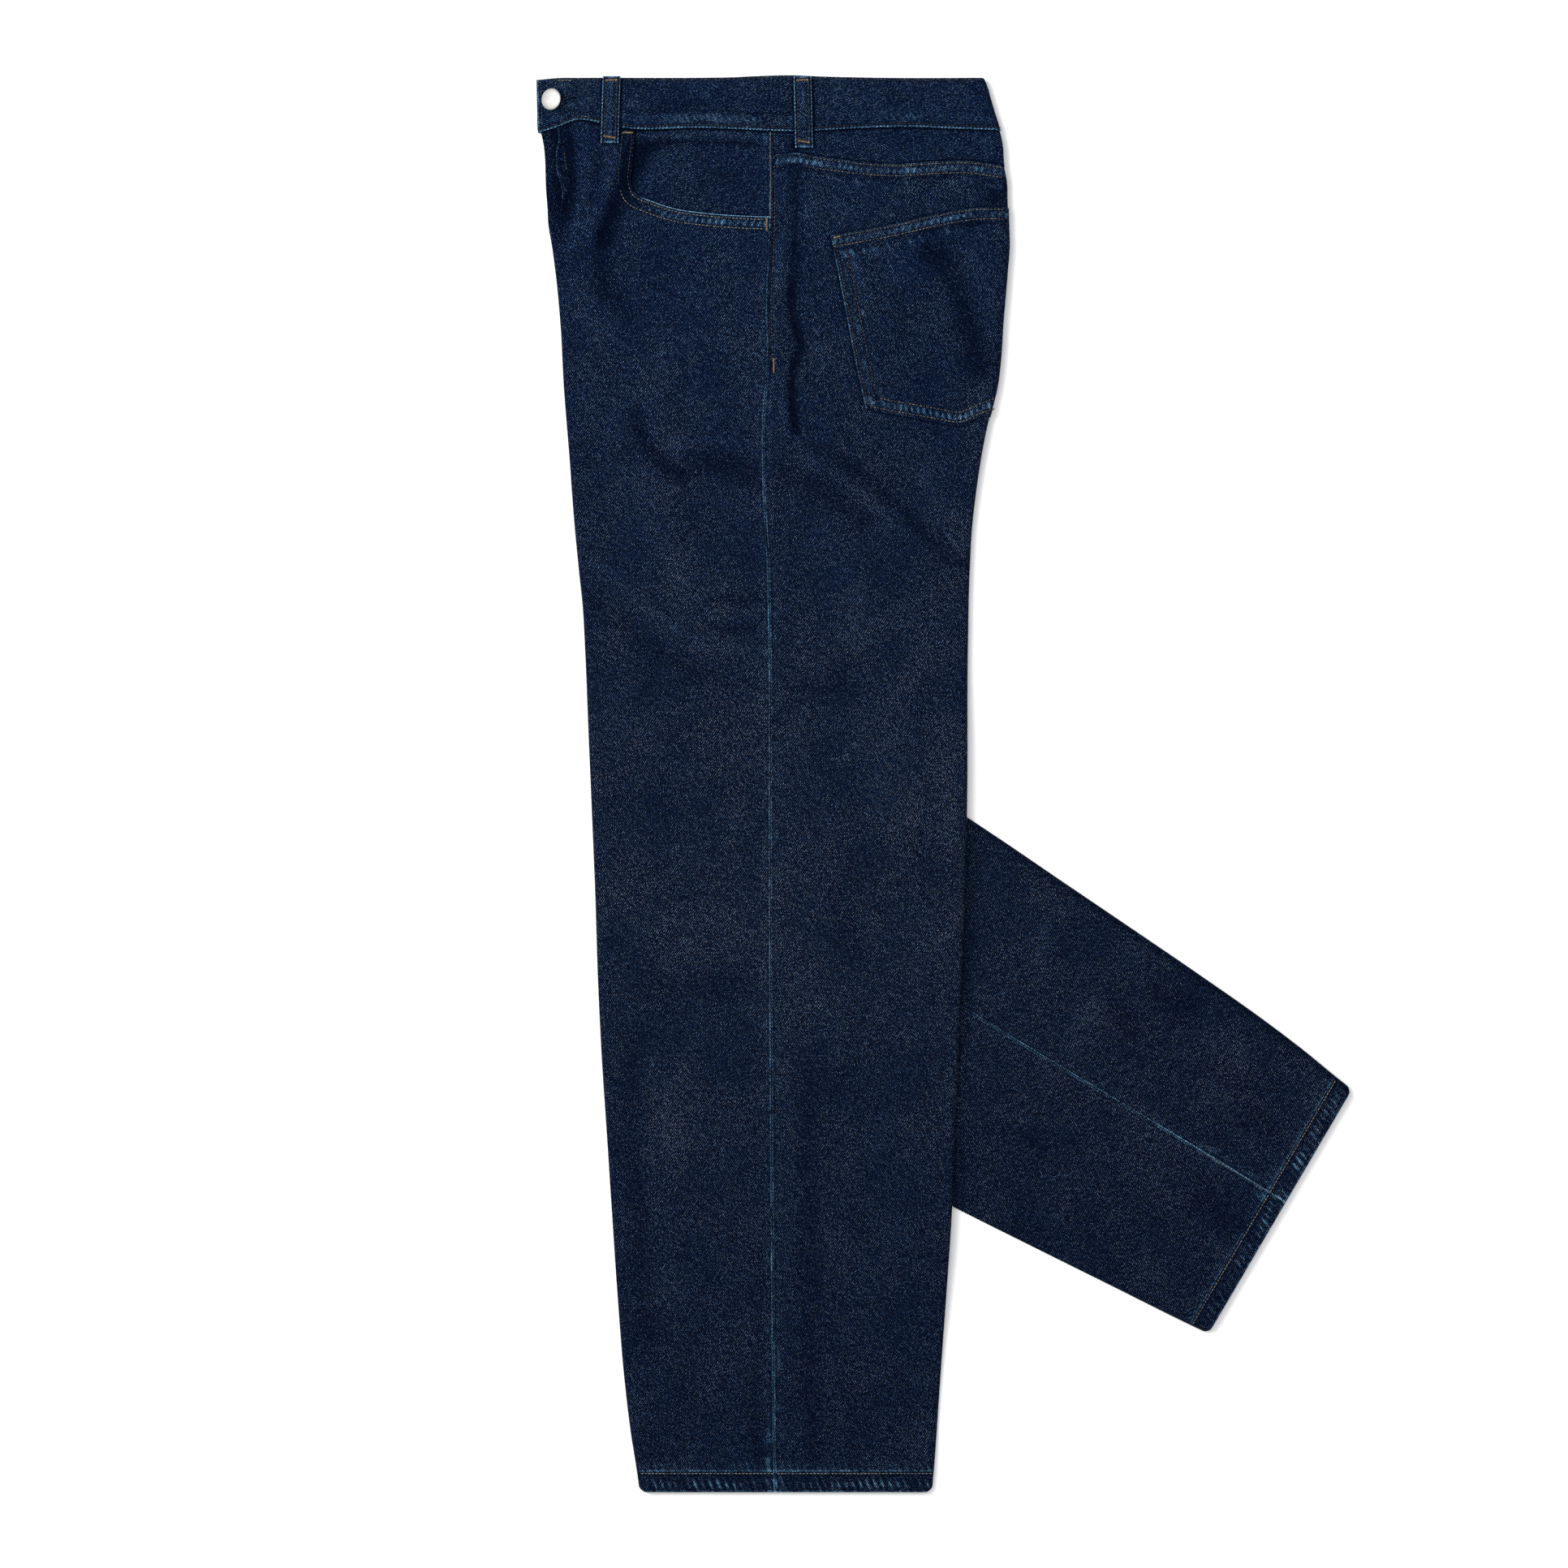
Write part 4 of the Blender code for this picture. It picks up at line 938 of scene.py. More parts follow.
def section_columns(side, name, own, middle, inset):
    """Across and height of each column at each row, before relief, and each column's share of the relief.

    `own` holds the rows' levels at the panel's own edge, `middle` those halfway across, and `inset` how
    far each row is turned in.
    """
    edge, towards, reach = ("front", -1, FRONT_REACH) if name == "front" else ("back", 1, BACK_REACH)
    own, middle, inset = own[:, None], middle[:, None], inset[:, None]
    corner = HEM_CORNER * rise(own, OUTSEAM - 5, 5) ** 2
    fold = fold_edge(edge, own) - towards * (inset + corner)
    width = roll_width(edge, own)
    tangent = fold - towards * width
    high = half(own) + puff(side, tangent, own) - inset
    open_fly = fall(own, 106, 20) if edge == "front" else 0
    low = mix(inset - half(own), high - FLY_TURN, open_fly)
    edge_height = mix(0, high - FLY_TURN / 2, open_fly)
    flat_count = len(SEAM_STEPS) + FLAT_COLUMNS

    steps = side_seam(middle) + towards * (SEAM_GAP / 2 + np.array(SEAM_STEPS))
    flat = mix(steps[:, -1:], tangent, parts(FLAT_COLUMNS))
    turn = parts(TOP_ROLL_STEPS) * math.pi / 2
    over, over_height = tangent + towards * width * np.sin(turn), mix(edge_height, high, np.cos(turn))
    low_turn = (1 + parts(LOW_ROLL_STEPS)) * math.pi / 2
    below = fold - towards * 0.85 * width * (1 - np.sin(low_turn))
    below_height = edge_height + (edge_height - low) * np.cos(low_turn)
    last = inseam(middle) + towards * SEAM_GAP / 2
    last = np.where(own < CROTCH, fold - towards * through(reach, own), last)
    under = mix(below[:, -1:], last, parts(UNDER_COLUMNS))

    across = np.concatenate((steps, flat, over, below, under), 1)
    flat_height, under_height = high.repeat(flat_count, 1), low.repeat(UNDER_COLUMNS, 1)
    height = np.concatenate((flat_height, over_height, below_height, under_height), 1)
    weight = np.concatenate((np.ones(flat_count), np.cos(turn), np.zeros(LOW_ROLL_STEPS + UNDER_COLUMNS)))
    return across, height, np.broadcast_to(weight, across.shape)


def panel(side, name, look):
    """A front or back panel from the side seam round the leg's fold to the inner seam or the rise."""
    front_level, back_level, inset = leg_rows(side, name)
    own = front_level if name == "front" else back_level
    across, height, weight = section_columns(side, name, own, mix(front_level, back_level, 0.5), inset)
    front, back = outline("front", front_level)[:, None], outline("back", back_level)[:, None]
    down = mix(front_level[:, None], back_level[:, None], (across - front) / (back - front))
    seam, gap, top, run = PANEL_TOPS[name]
    down = down + (through(seam, across) + gap - top) * fall(own[:, None], top, run)
    cloth, *cut = cut_of(side, name, across, height, down)
    faces = grid_faces(*across.shape, (side == "right") != (name == "front"))
    raised = weight * (inset == 0)[:, None]
    across, height, weight, raised, down = (item.ravel() for item in (across, height, weight, raised, down))
    if name == "front":
        across, down, faces, edge = cut_scoop(across, down, faces, weight)
    relief, wear_and_shade = relief_of(name, side, across, down)
    out = height + relief * raised
    points, wear_and_shade = PLACE[side](across, down, out), wear_and_shade * np.maximum(weight, 0.3)
    if name == "front":
        points, faces, cloth, wear_and_shade = add_rim(side, edge, across, down, out, points, faces, cloth, wear_and_shade)
    used, faces = np.unique(faces, return_inverse=True)
    faces = faces.reshape(-1, 4)
    node = f"{side}_{name}_panel"
    cloth_piece(f"{side}_{name}_cloth", node, points[used], faces, cloth[used], wear_and_shade[used], look, *cut)


def cut_scoop(across, down, faces, weight):
    """Opens the pocket's mouth: whole faces inside it go, and the others' points move onto its edge.

    The last value returned says which points those are.
    """
    line = smooth_line(SCOOP, 1.0)
    near = (across > SCOOP_AREA[0]) & (down < SCOOP_AREA[1]) & (weight > 0.99)
    inside = np.zeros(len(across), bool)
    inside[near] = distance_to(line, across[near], down[near])[2] < 0
    faces = faces[~inside[faces].all(1)]
    edge = np.zeros(len(across), bool)
    edge[faces] = True
    edge &= inside
    travel = distance_to(line, across[edge], down[edge])[1]
    across[edge], down[edge] = (np.interp(travel, travel_along(line), column) for column in line.T)
    return across, down, faces, edge


def add_rim(side, edge, across, down, out, points, faces, cloth, wear_and_shade):
    """Rounds the pocket mouth's edge down and back under itself."""
    sides = np.concatenate([faces[:, [k, (k + 1) % 4]] for k in range(4)])
    _, first, counts = np.unique(np.sort(sides, 1), axis=0, return_index=True, return_counts=True)
    start, end = sides[first[counts == 1]].T
    long = np.hypot(across[start] - across[end], down[start] - down[end]) > 1e-6
    border = np.stack((start, end), 1)[edge[start] & edge[end] & long]
    users, order = np.unique(border, return_inverse=True)
    order = order.reshape(-1, 2)
    a, d = across[users], down[users]
    line = smooth_line(SCOOP, 1.0)
    at = np.hypot(a[:, None] - line[:, 0], d[:, None] - line[:, 1]).argmin(1).clip(1, len(line) - 2)
    x, y = (line[at + 1] - line[at - 1]).T
    length = np.hypot(x, y)
    level_part = mix(0.15, 1, rise(a, *LEVEL_PART))
    last = border
    for step_in, drop, worn in RIM:
        ring = PLACE[side](a + y / length * step_in, d - x / length * step_in, out[users] - drop)
        following = len(points) + order
        quads = np.stack((last[:, 1], last[:, 0], following[:, 0], following[:, 1]), 1)
        points, faces = np.concatenate((points, ring)), np.concatenate((faces, quads))
        cloth = np.concatenate((cloth, cloth[users] + (0, drop)))
        wear_and_shade = np.concatenate((wear_and_shade, worn * level_part))
        last = following
    return points, faces, cloth, wear_and_shade


def yoke(side, look):
    """The yoke between the waistband and the back panel."""
    rows = stops((0, 0.028), (0.12, 0.055), (0.88, 0.03), (1, 1))
    own = mix(PANEL_LEVEL, YOKE_END, rows)
    across, height, weight = section_columns(side, "yoke", own, own, 0 * own)
    down = mix(through(BAND_BOTTOM, across) + BAND_GAP, through(YOKE_SEAM, across) - 0.2, rows[:, None])
    relief, wear_and_shade = relief_of("yoke", side, across, down)
    grid_piece(side, "yoke", "yoke", across, height, down, height + relief * weight, wear_and_shade, look)


def facing(side, look):
    """The cloth in the front pocket's mouth, a little below the front panel's."""
    across, down = np.meshgrid(np.linspace(-0.2, -FACING_REACH, 96), stops((PANEL_LEVEL, 1), (FACING_END, 1)))
    down = down + (through(BAND_BOTTOM, across) + BAND_GAP - PANEL_LEVEL) * fall(down, PANEL_LEVEL, 40)
    relief, wear_and_shade = relief_of("facing", side, across, down)
    border, worn = side_border(across, down, "facing", FACING_SIDE_SEED)
    mouth, _, beside_mouth = distance_to(smooth_line(SCOOP), across, down)
    top = down - through(BAND_BOTTOM, across)
    relief += border + 0.5 * bump(top - 5, 3.5) - 0.2
    # `worn` holds the side seam's wear_and_shade. A painted shadow of the front panel's edge lies along the
    # mouth, and the facing is a little darker all over.
    wear_and_shade += worn + 0.14 * bump(top - 3.5, 4.5) * rise(across, -106, 12) - 0.03 - 0.5 * bump(mouth, 1.5)
    sunk = np.where(beside_mouth > 0, 2.0, 1.5) * rise(-across, 0, 6)
    out = outer_base(side, across, down) + relief - sunk
    grid_piece(side, "facing", "pocket_facing", across, 0 * across, down, out, wear_and_shade, look)


def eased_rows(down, across, rows):
    """Rows of the back pocket bent so that the first and last follow its top and bottom edges."""
    top = through(POCKET_TOP_EDGE, across[:1]) - down[:1]
    low = low_edge(across[-1:]) - down[-1:]
    return down + top * (1 - rows) ** 3 + low * rows**3


def back_pocket(side, look):
    """The patch pocket on the back panel, wrapped round the back fold as far as its middle."""
    rows = stops((0, 0.004), (0.004, 0.005), (0.08, 0.011), (0.92, 0.006), (0.996, 0.004), (1, 1))[:, None]
    columns = stops((0, 0.003), (0.003, 0.006), (0.09, 0.013), (1, 1))
    left = smooth_line(POCKET_SIDE_EDGE, 1.0)
    left_across, left_down = (np.interp(rows, np.linspace(0, 1, len(left)), column) for column in left.T)
    even_down = mix(*POCKET_LEVELS, rows)
    edge_down = even_down
    for _ in range(3):
        tangent = outline("back", edge_down) - roll_width("back", edge_down)
        edge_down = eased_rows(even_down, tangent, rows)
    across = mix(left_across, tangent, columns)
    down = eased_rows(mix(left_down, even_down, columns), across, rows)

    turn = parts(11) * POCKET_WRAP
    width = roll_width("back", edge_down)
    high = half(edge_down) + puff(side, tangent, edge_down)
    nx, nz = np.sin(turn) / width, np.cos(turn) / high
    lift = CLOTH + SEAM_GAP
    off = lift * (1 - 0.45 * np.sin(turn)) / np.hypot(nx, nz)
    height = np.concatenate((outer_base(side, across, down) + lift, high * np.cos(turn) + off * nz), 1)
    weight = np.broadcast_to(np.concatenate((np.ones(len(columns)), np.cos(turn).clip(0, 1))), height.shape)
    across = np.concatenate((across, tangent + width * np.sin(turn) + off * nx), 1)
    down = np.concatenate((down, down[:, -1:].repeat(len(turn), 1)), 1)

    relief, wear_and_shade = relief_of("pocket", side, across, down)
    tucked = np.zeros(height.shape)
    tucked[[1, -2]] = tucked[:, 1] = 0.15
    tucked[[0, -1]] = tucked[:, 0] = 1
    out = height + (relief - tucked * lift) * weight
    grid_piece(side, "pocket", "back_pocket", across, height, down, out, wear_and_shade, look)


# ---- flat strips: waistband, fly underlap and belt loops ------------------------------------------------
def ring_of(half_thick, shares):
    """Cross-section of a flat strip, a closed ring: share of the width, step in from there, and offset.

    `shares` are the rows of its outer face, as shares of the width. The borders are half round.
    """
    turn = np.linspace(-math.pi / 2, math.pi / 2, 7)
    step, offset = half_thick * (1 - np.cos(turn)), half_thick * np.sin(turn)
    inner = np.linspace(0.95, 0.05, 4)
    share = np.concatenate((np.zeros(7), shares, np.ones(7), inner))
    step = np.concatenate((step, 0 * shares, -step[::-1], 0 * inner))
    offset = np.concatenate((offset, 0 * shares + half_thick, offset[::-1], 0 * inner - half_thick))
    return share, step, offset


def end_stations(stations, reach):
    """Adds the rounded ends to a strip's stations: (stations, thinness of each)."""
    turn = np.radians((25, 45, 65, 80))
    beyond, thin = reach * np.sin(turn), np.cos(turn)
    thin = np.concatenate((thin[::-1], np.ones(len(stations)), thin))
    return np.concatenate((stations[0] - beyond[::-1], stations, stations[-1] + beyond)), thin


def strip(name, node, stations, unit, surface, half_thick, shares, relief_at, turn, look, flip, mirror=1):
    """A closed strip of doubled cloth.

    `surface(s, share, step)` gives the points and normals of its middle layer at the stations `s`;
    `unit` is the way between two whole stations; `relief_at(s, points)` gives its relief and its
    wear_and_shade, worn places lighter and painted shade darker.
    """
    stations, thin = end_stations(stations, half_thick / unit)
    share, step, offset = ring_of(half_thick, shares)
    s, thin = stations[:, None], thin[:, None]
    points, normals = surface(s, share, step)
    raised, wear_and_shade = relief_at(s, points)
    outer = np.clip(offset / half_thick, 0, 1)
    points = points + normals * ((offset + raised * outer) * thin)[..., None]
    along, width = travel_along(points[:, len(share) // 2]), travel_along(points[0])
    cloth = weave(mirror * width, -along[:, None], turn)
    rows, columns = points.shape[:2]
    faces = grid_faces(rows, columns, flip, wrap=True).tolist()
    first, last = list(range(columns)), list(range((rows - 1) * columns, rows * columns))
    faces += [first, last[::-1]] if flip else [first[::-1], last]
    size = along[-1] * MM, width[-1] * MM / 2
    cloth_piece(name, node, points.reshape(-1, 3), faces, cloth, wear_and_shade * np.maximum(outer, 0.2), look, size)


def band_levels():
    """Heights of the middle of the waistband's upper, lower and underlap layers."""
    wall = LEG_HALF - CLOTH / 2
    upper = float(left_middle(0.0, BAND_LEVEL)) + wall
    lower = float(right_middle(0.0, BAND_LEVEL)) - wall
    return upper, lower, (upper + lower) / 2


def band_surface(s, share, step):
    """The waistband's middle layer.

    Stations 0 to 1 are its upper side, 1 to 2 the back fold, 2 to 3 the lower side, 3 to 4 the turn at the
    front, and 4 to 5 the underlap.
    """
    upper, lower, underlap = band_levels()
    down = share * BAND_HEIGHT
    front, back_turn = outline("front", down), outline("back", down) - BAND_ROLL
    back_high, front_high = (upper - lower) / 2, (underlap - lower) / 2
    return_share = np.clip(s - 2, 0, 1)
    over, turned = np.pi * np.clip(s - 1, 0, 1), np.pi * np.clip(s - 3, 0, 1)
    x = mix(front, back_turn, np.minimum(s, 1) - return_share) + (front_high + SEAM_GAP) * return_share
    x = x + BAND_ROLL * np.sin(over) - front_high * np.sin(turned) + UNDERLAP * np.maximum(s - 4, 0)
    y = mix(through(BAND_TOP, x), through(BAND_BOTTOM, x), share) + step
    z = underlap + back_high * np.cos(over) + front_high * (1 - np.cos(turned))
    nx = np.sin(over) / BAND_ROLL - np.sin(turned) / front_high
    nz = np.where(s > 3, -np.cos(turned) / front_high, np.cos(over) / back_high)
    return stacked(x, -y, z), stacked(nx, 0, nz) / np.hypot(nx, nz)[..., None]


def band_relief(s, points):
    """(relief, wear_and_shade) of the waistband, which is uneven in another way on its lower side. Its dark
    lines along the lower row, beside the belt loops and above the lighter band on the left are painted
    shade, and so is part of the darkening of its troughs.
    """
    x, d = points[..., 0], -points[..., 1]
    below = s > 2
    seed = np.where(below, 50, 0)
    top, low = d - through(BAND_TOP, x), through(BAND_BOTTOM, x) - d
    left_part = fall(x, 5, 30)
    lumps = 0.34 * noise(x / 26, d / 20 + seed, 601) + 0.2 * noise(x / 9, d / 9 + seed, 602)
    wrinkled = rise(noise(x / 30, d / 24 + seed, 604), -0.7, 1)
    lumps += 0.2 * wrinkled * noise((x + d) / 16, (x - d) / 3.6 + seed, 603)
    relief = lumps * rise(top, 0, 4) * rise(low, 0, 5)
    relief += sum(one_crease(*crease, x, d) for crease in BAND_CREASES)
    relief += row_groove(top, 1.7, 0.22) + 0.3 * bump(low - 8, 4) + row_groove(low, 2.6, 0.3)
    relief += puckers(x, top, 4, 3.5, 7, 603, 0.14) + puckers(x, low, 7, 4, 7, 604, 0.4)
    beads = rope(x - 0.7 * low)
    relief += 0.3 * beads * bump(low - 0.8, 0.9)
    wear_and_shade = 0.75 * (0.2 + 0.8 * beads) * bump(low - 0.6, 0.9) * (0.85 + 0.3 * noise(x / 9, 0.5, 605))
    wear_and_shade += 0.42 * bump(top - 0.1, 0.9) * (0.5 + 0.8 * noise(x / 1.6, 0.5, 606)) - 0.25 * bump(low - 2.7, 0.9)
    patches = 0.04 * left_part + 0.04 * noise(x / 3, d / 3, 607) + 0.02 * noise(x / 30, 0.5, 608)
    wear_and_shade += patches * bump(low - 7, 6) + 0.10 * rungs(x + 0.5 * low, low, 8, 4, 5.4, 609)
    streaked = rise(noise(x / 16, d / 10 + seed, 611), -0.3, 1) * rise(top, 0, 3) * rise(low, 3, 3)
    wear_and_shade += 0.13 * streaked * noise((x + d) / 9, (x - 1.6 * d) / 1.9 + seed, 610) + loop_shade(x, d)
    wear_and_shade -= 0.2 * bump(low - 13.4, 1.3) * left_part * rise(x, -118, 10)
    end = np.where(s < 0.5, x - outline("front", d), 99)
    wear_and_shade += 0.35 * bump(end, 0.6) + np.clip(0.18 * relief, -0.3, 0.08) + 0.01
    return np.where(below, np.minimum(relief, 0.1), relief), wear_and_shade


def waistband(look):
    """One strip that runs round from the buttonhole's end to the button's."""
    stations = (stops((0, 0.0021), (1, 1)), 1 + parts(10), 2 + parts(89), 3 + parts(6), 4 + parts(19))
    shares = stops((0.035, 0.013), (0.14, 0.033), (0.72, 0.03), (0.86, 0.013), (0.97, 1))
    strip("waistband_cloth", "waistband", np.concatenate(stations), WAIST, band_surface, BAND_HALF,
          shares, band_relief, 0, look, True, mirror=-1)


def shield_surface(s, share, step):
    """The fly underlap's middle layer, its front border a little inside the leg's outline."""
    down = mix(FLY_TOP, FLY_END, s)
    tucked = 0.8 * fall(down, 100, 14) * (share < 0.5)
    x = outline("front", down) + UNDERLAP_WIDTH * share + step + tucked
    middle = band_levels()[2] - straight(STAND_OFF, FLY_TOP) + straight(STAND_OFF, down)
    return stacked(x, -down, middle), stacked(0 * s, 0, 1)


def shield_relief(s, points):
    x, d = points[..., 0], -points[..., 1]
    away = x - outline("front", d)
    relief = 0.35 * noise(x / 10, d / 16, 650) + 0.5 * bump(away - 4, 4)
    wear_and_shade = 0.2 * bump(away, 0.8) * (0.7 + 0.5 * noise(d / 5, 0.5, 651)) - 0.2 - 0.3 * rise(away, 5, 6)
    return relief, wear_and_shade


def fly_shield(look):
    strip("fly_underlap_cloth", "fly_shield", np.linspace(0, 1, 70), UNDERLAP_LENGTH, shield_surface,
          BAND_HALF, np.linspace(0.03, 0.97, 24), shield_relief, CUT_TURNS["underlap"], look, False)


def all_loops():
    """Every belt loop: node, side, place across, lean and length. The back one leans as its fold does."""
    top, low = float(outline("back", 0)), float(outline("back", BAND_HEIGHT))
    back = "centre_back_loop", "right", top - BACK_LOOP_IN, (low - top) / BAND_HEIGHT, LOOPS[1][3]
    return [(f"{name}_{side}_loop", side, *place) for side in SIDES for name, *place in LOOPS] + [back]


def loop_surface(loop, s, share, step):
    """The middle layer of a belt loop, with its normals. On the upper side it arches a little."""
    _, side, across, lean, length = loop
    upper, lower, _ = band_levels()
    lift = BAND_HALF + SEAM_GAP + LOOP_CLOTH / 2
    if side == "left":
        up, z = 1, upper + lift + LOOP_ARCH * np.sin(np.pi * np.clip(s, 0, 1))
    else:
        up, z = -1, lower - lift
    x = across + lean * s * length + (share - 0.5) * LOOP_WIDTH + step
    return stacked(x, -s * length, z), stacked(0 * s, 0, up)


def belt_loop(loop, look):
    name, side, across, lean, length = loop

    def surface(s, share, step):
        return loop_surface(loop, s, share, step)

    def relief_at(s, points):
        d = -points[..., 1]
        away = points[..., 0] - across - lean * d
        edge = LOOP_WIDTH / 2 - np.abs(away)
        seed = 700 + int(abs(across))
        raised = 0.28 * bump(edge - 0.9, 0.9) + row_groove(edge, LOOP_ROW, 0.3) + 0.2 * bump(away, 3)
        raised += 0.16 * noise(d / 4.2, away / 3, seed)
        worn = 0.8 * bump(edge - 0.25, 0.6) * (0.55 + 0.5 * rope(d + 0.5 * away))
        worn += 0.17 * bump(away, 3.0) * (0.75 + 0.5 * noise(d / 7, away / 4, seed + 1))
        # The dark line in the dent beside each row of stitches is painted shade.
        worn -= 0.28 * bump(edge - 1.7, 0.8)
        worn += 0.4 * bump(d - length, 0.7) + 0.35 * bump(d, 0.7)
        return (raised if side == "left" else np.minimum(raised, 0.1)), worn

    shares = stops((0.07, 0.028), (0.3, 0.05), (0.7, 0.028), (0.93, 1))
    strip(f"{name}_cloth", name, np.linspace(0, 1, 76), length, surface, LOOP_CLOTH / 2,
          shares, relief_at, 0, look, side == "right")


# ---- thread ---------------------------------------------------------------------------------------------
def thread_mesh(name, threads, thick, lift, look):
    """Short threads joined as one mesh: each rises out of the cloth and goes back in.

    `threads` are sets of starts, ends, up directions and brightnesses.
    """
    starts, ends, ups, tones = (np.concatenate(items) for items in zip(*threads))
    way = ends - starts
    across = np.cross(ups, way / np.linalg.norm(way, axis=1, keepdims=True))
    across /= np.linalg.norm(across, axis=1, keepdims=True)
    starts, way, across, ups = (item[:, None, None] for item in (starts, way, across, ups))
    place, high, girth = np.array(THREAD_RINGS).T[:, :, None, None]
    turn = np.linspace(0, 2 * math.pi, 6, endpoint=False)[:, None]
    out = across * np.cos(turn) + ups * np.sin(turn) * 0.8
    points = starts + way * (1 + place) / 2 + ups * (high * lift) + out * thick / 2 * girth
    count, rings, sides = points.shape[:3]
    faces = grid_faces(rings, sides, False, wrap=True)
    faces = (faces + rings * sides * np.arange(count)[:, None, None]).reshape(-1, 4)
    cloth = np.arange(count)[:, None] * (7.3, 3.1)
    cloth, tones = cloth.repeat(rings * sides, 0), tones.repeat(rings * sides)
    mesh_piece(name, points.reshape(-1, 3), faces, cloth, tones, look)


def on_cloth(side, name, a, d, lift):
    """Points on the outer cloth of a piece, which the stitches lie on."""
    relief, _ = relief_of(name, side, a, d)
    if name == "pocket":
        relief = relief + CLOTH + SEAM_GAP
    return PLACE[side](a, d, outer_base(side, a, d) + relief + lift)


def tones_of(count, tone, seed):
    """Brightness of each thread in a row, spread evenly about the row's own."""
    return np.clip(tone + np.random.default_rng(seed).uniform(-0.28, 0.28, count), 0, 1)


def stitch_ends(line, values, wander=0.0, seed=0):
    """What `values`, given at a line's points, are at the starts and at the ends of a row's stitches."""
    travel = travel_along(line)
    count = int(travel[-1] / STITCH)
    shift = wander * np.random.default_rng(seed).uniform(-1, 1, count)
    begin = (np.arange(count) + 0.12 + shift) * STITCH
    ends = begin, begin + STITCH_LENGTH
    return [stacked(*(np.interp(at, travel, column) for column in values.T)) for at in ends]


def stitches(side, name, line, tone, seed):
    """A row of stitches along a line on a piece's cloth: starts, ends, up directions and brightnesses."""
    line = smooth_line(line, 1.5)
    spots = stitch_ends(line, line, 0.06, seed)
    starts, ends = (on_cloth(side, name, *spot.T, 0.0) for spot in spots)
    raised = on_cloth(side, name, *spots[1].T, 1.0)
    return starts, ends, raised - ends, tones_of(len(ends), tone, seed)


def flat_row(points, ups, tone, seed):
    """The same for a line of points in space."""
    starts, ends = stitch_ends(points, np.concatenate((points, ups), 1))
    return starts[:, :3], ends[:, :3], starts[:, 3:], tones_of(len(ends), tone, seed)


def beside(line, away):
    """A line moved sideways, to its left for away above zero."""
    line = smooth_line(line)
    x, y = np.gradient(line, axis=0).T
    length = np.hypot(x, y)
    return line + away * stacked(-y / length, x / length)


def level_line(table, start, end, away):
    """Points along a seam that runs across, `away` below it."""
    across = np.linspace(start, end, 60)
    return stacked(across, through(table, across) + away)


def hem_line(edge):
    """The line of the stitches above a panel's hem."""
    towards = -1 if edge == "front" else 1
    level = OUTSEAM - HEM_ROW
    across = np.linspace(side_seam(OUTSEAM) + towards, fold_edge(edge, level) - towards * 1.2, 60)
    return stacked(across, level)


def side_rows():
    """Every row of stitches on one side of the garment: piece, line and brightness."""
    scoop = smooth_line(SCOOP, 2.0)
    scoop = scoop[(scoop[:, 0] < -3.5) & (scoop[:, 1] > 42)]
    turn = int(np.argmax(scoop[:, 1] > 84))
    upper, lower = np.linspace(42, 60, 8), np.linspace(70.5, 220, 60)
    pocket_side = smooth_line(POCKET_SIDE_EDGE, 2.0)
    return [
        *(("front", beside(scoop[: turn + 1], away), 0.22) for away in SCOOP_ROWS),
        *(("front", beside(scoop[turn:], away), 0.8) for away in SCOOP_ROWS),
        ("yoke", stacked(side_seam(upper) + SIDE_ROW, upper), 0.3),
        ("back", stacked(side_seam(lower) + SIDE_ROW, lower), 0.35),
        *(("back", level_line(YOKE_SEAM, 1.5, 181, away), 0.65) for away in YOKE_ROWS),
        *(("pocket", level_line(POCKET_TOP_EDGE, 48.5, 181, away), 0.65) for away in POCKET_TOP_ROWS),
        ("pocket", beside(pocket_side, -POCKET_ROWS[0]), 0.3),
        ("pocket", beside(pocket_side[6:-5], -POCKET_ROWS[1]), 0.35),
        ("pocket", level_line(POCKET_LOW_EDGE, 76.5, 176, -POCKET_ROWS[0]), 0.65),
        ("pocket", level_line(POCKET_LOW_EDGE, 84.5, 176, -POCKET_ROWS[1]), 0.6),
        *((name, hem_line(name), 0.85) for name in ("front", "back")),
        ("front", FLY_ROW, 0.35),
    ]


def topstitching(side, look):
    """Every row of stitches on one side, as one piece."""
    rows = [stitches(side, *row, number) for number, row in enumerate(side_rows())]
    thread_mesh(f"{side}_topstitching", rows, THREAD, 0.30, look)


def band_stitching(look):
    """Rows round the waistband, down its two ends, and up both sides of each belt loop."""
    rows = []
    for share, step, start, end, tone in BAND_ROWS:
        s = np.linspace(start, end, int(260 * (end - start)) + 8)[:, None]
        points, normals = band_surface(s, np.array([[share]]), step)
        points = points + normals * (BAND_HALF + band_relief(s, points)[0])[..., None]
        rows.append(flat_row(points[:, 0], normals[:, 0], tone, 1))
    for s in BAND_END_ROWS:
        points, normals = band_surface(np.full((40, 1), s), np.linspace(0.06, 0.94, 40)[:, None], 0)
        rows.append(flat_row(points[:, 0] + normals[:, 0] * BAND_HALF, normals[:, 0], 0.3, 3))
    for loop in all_loops():
        for away in (LOOP_ROW, LOOP_WIDTH - LOOP_ROW):
            points, normals = loop_surface(loop, np.linspace(0.03, 0.97, 40)[:, None], 0, away)
            points = points + normals * (LOOP_CLOTH / 2 + 0.02)
            rows.append(flat_row(points[:, 0], normals[:, 0], 0.22, 4))
    thread_mesh("waistband_topstitching", rows, THREAD, 0.28, look)


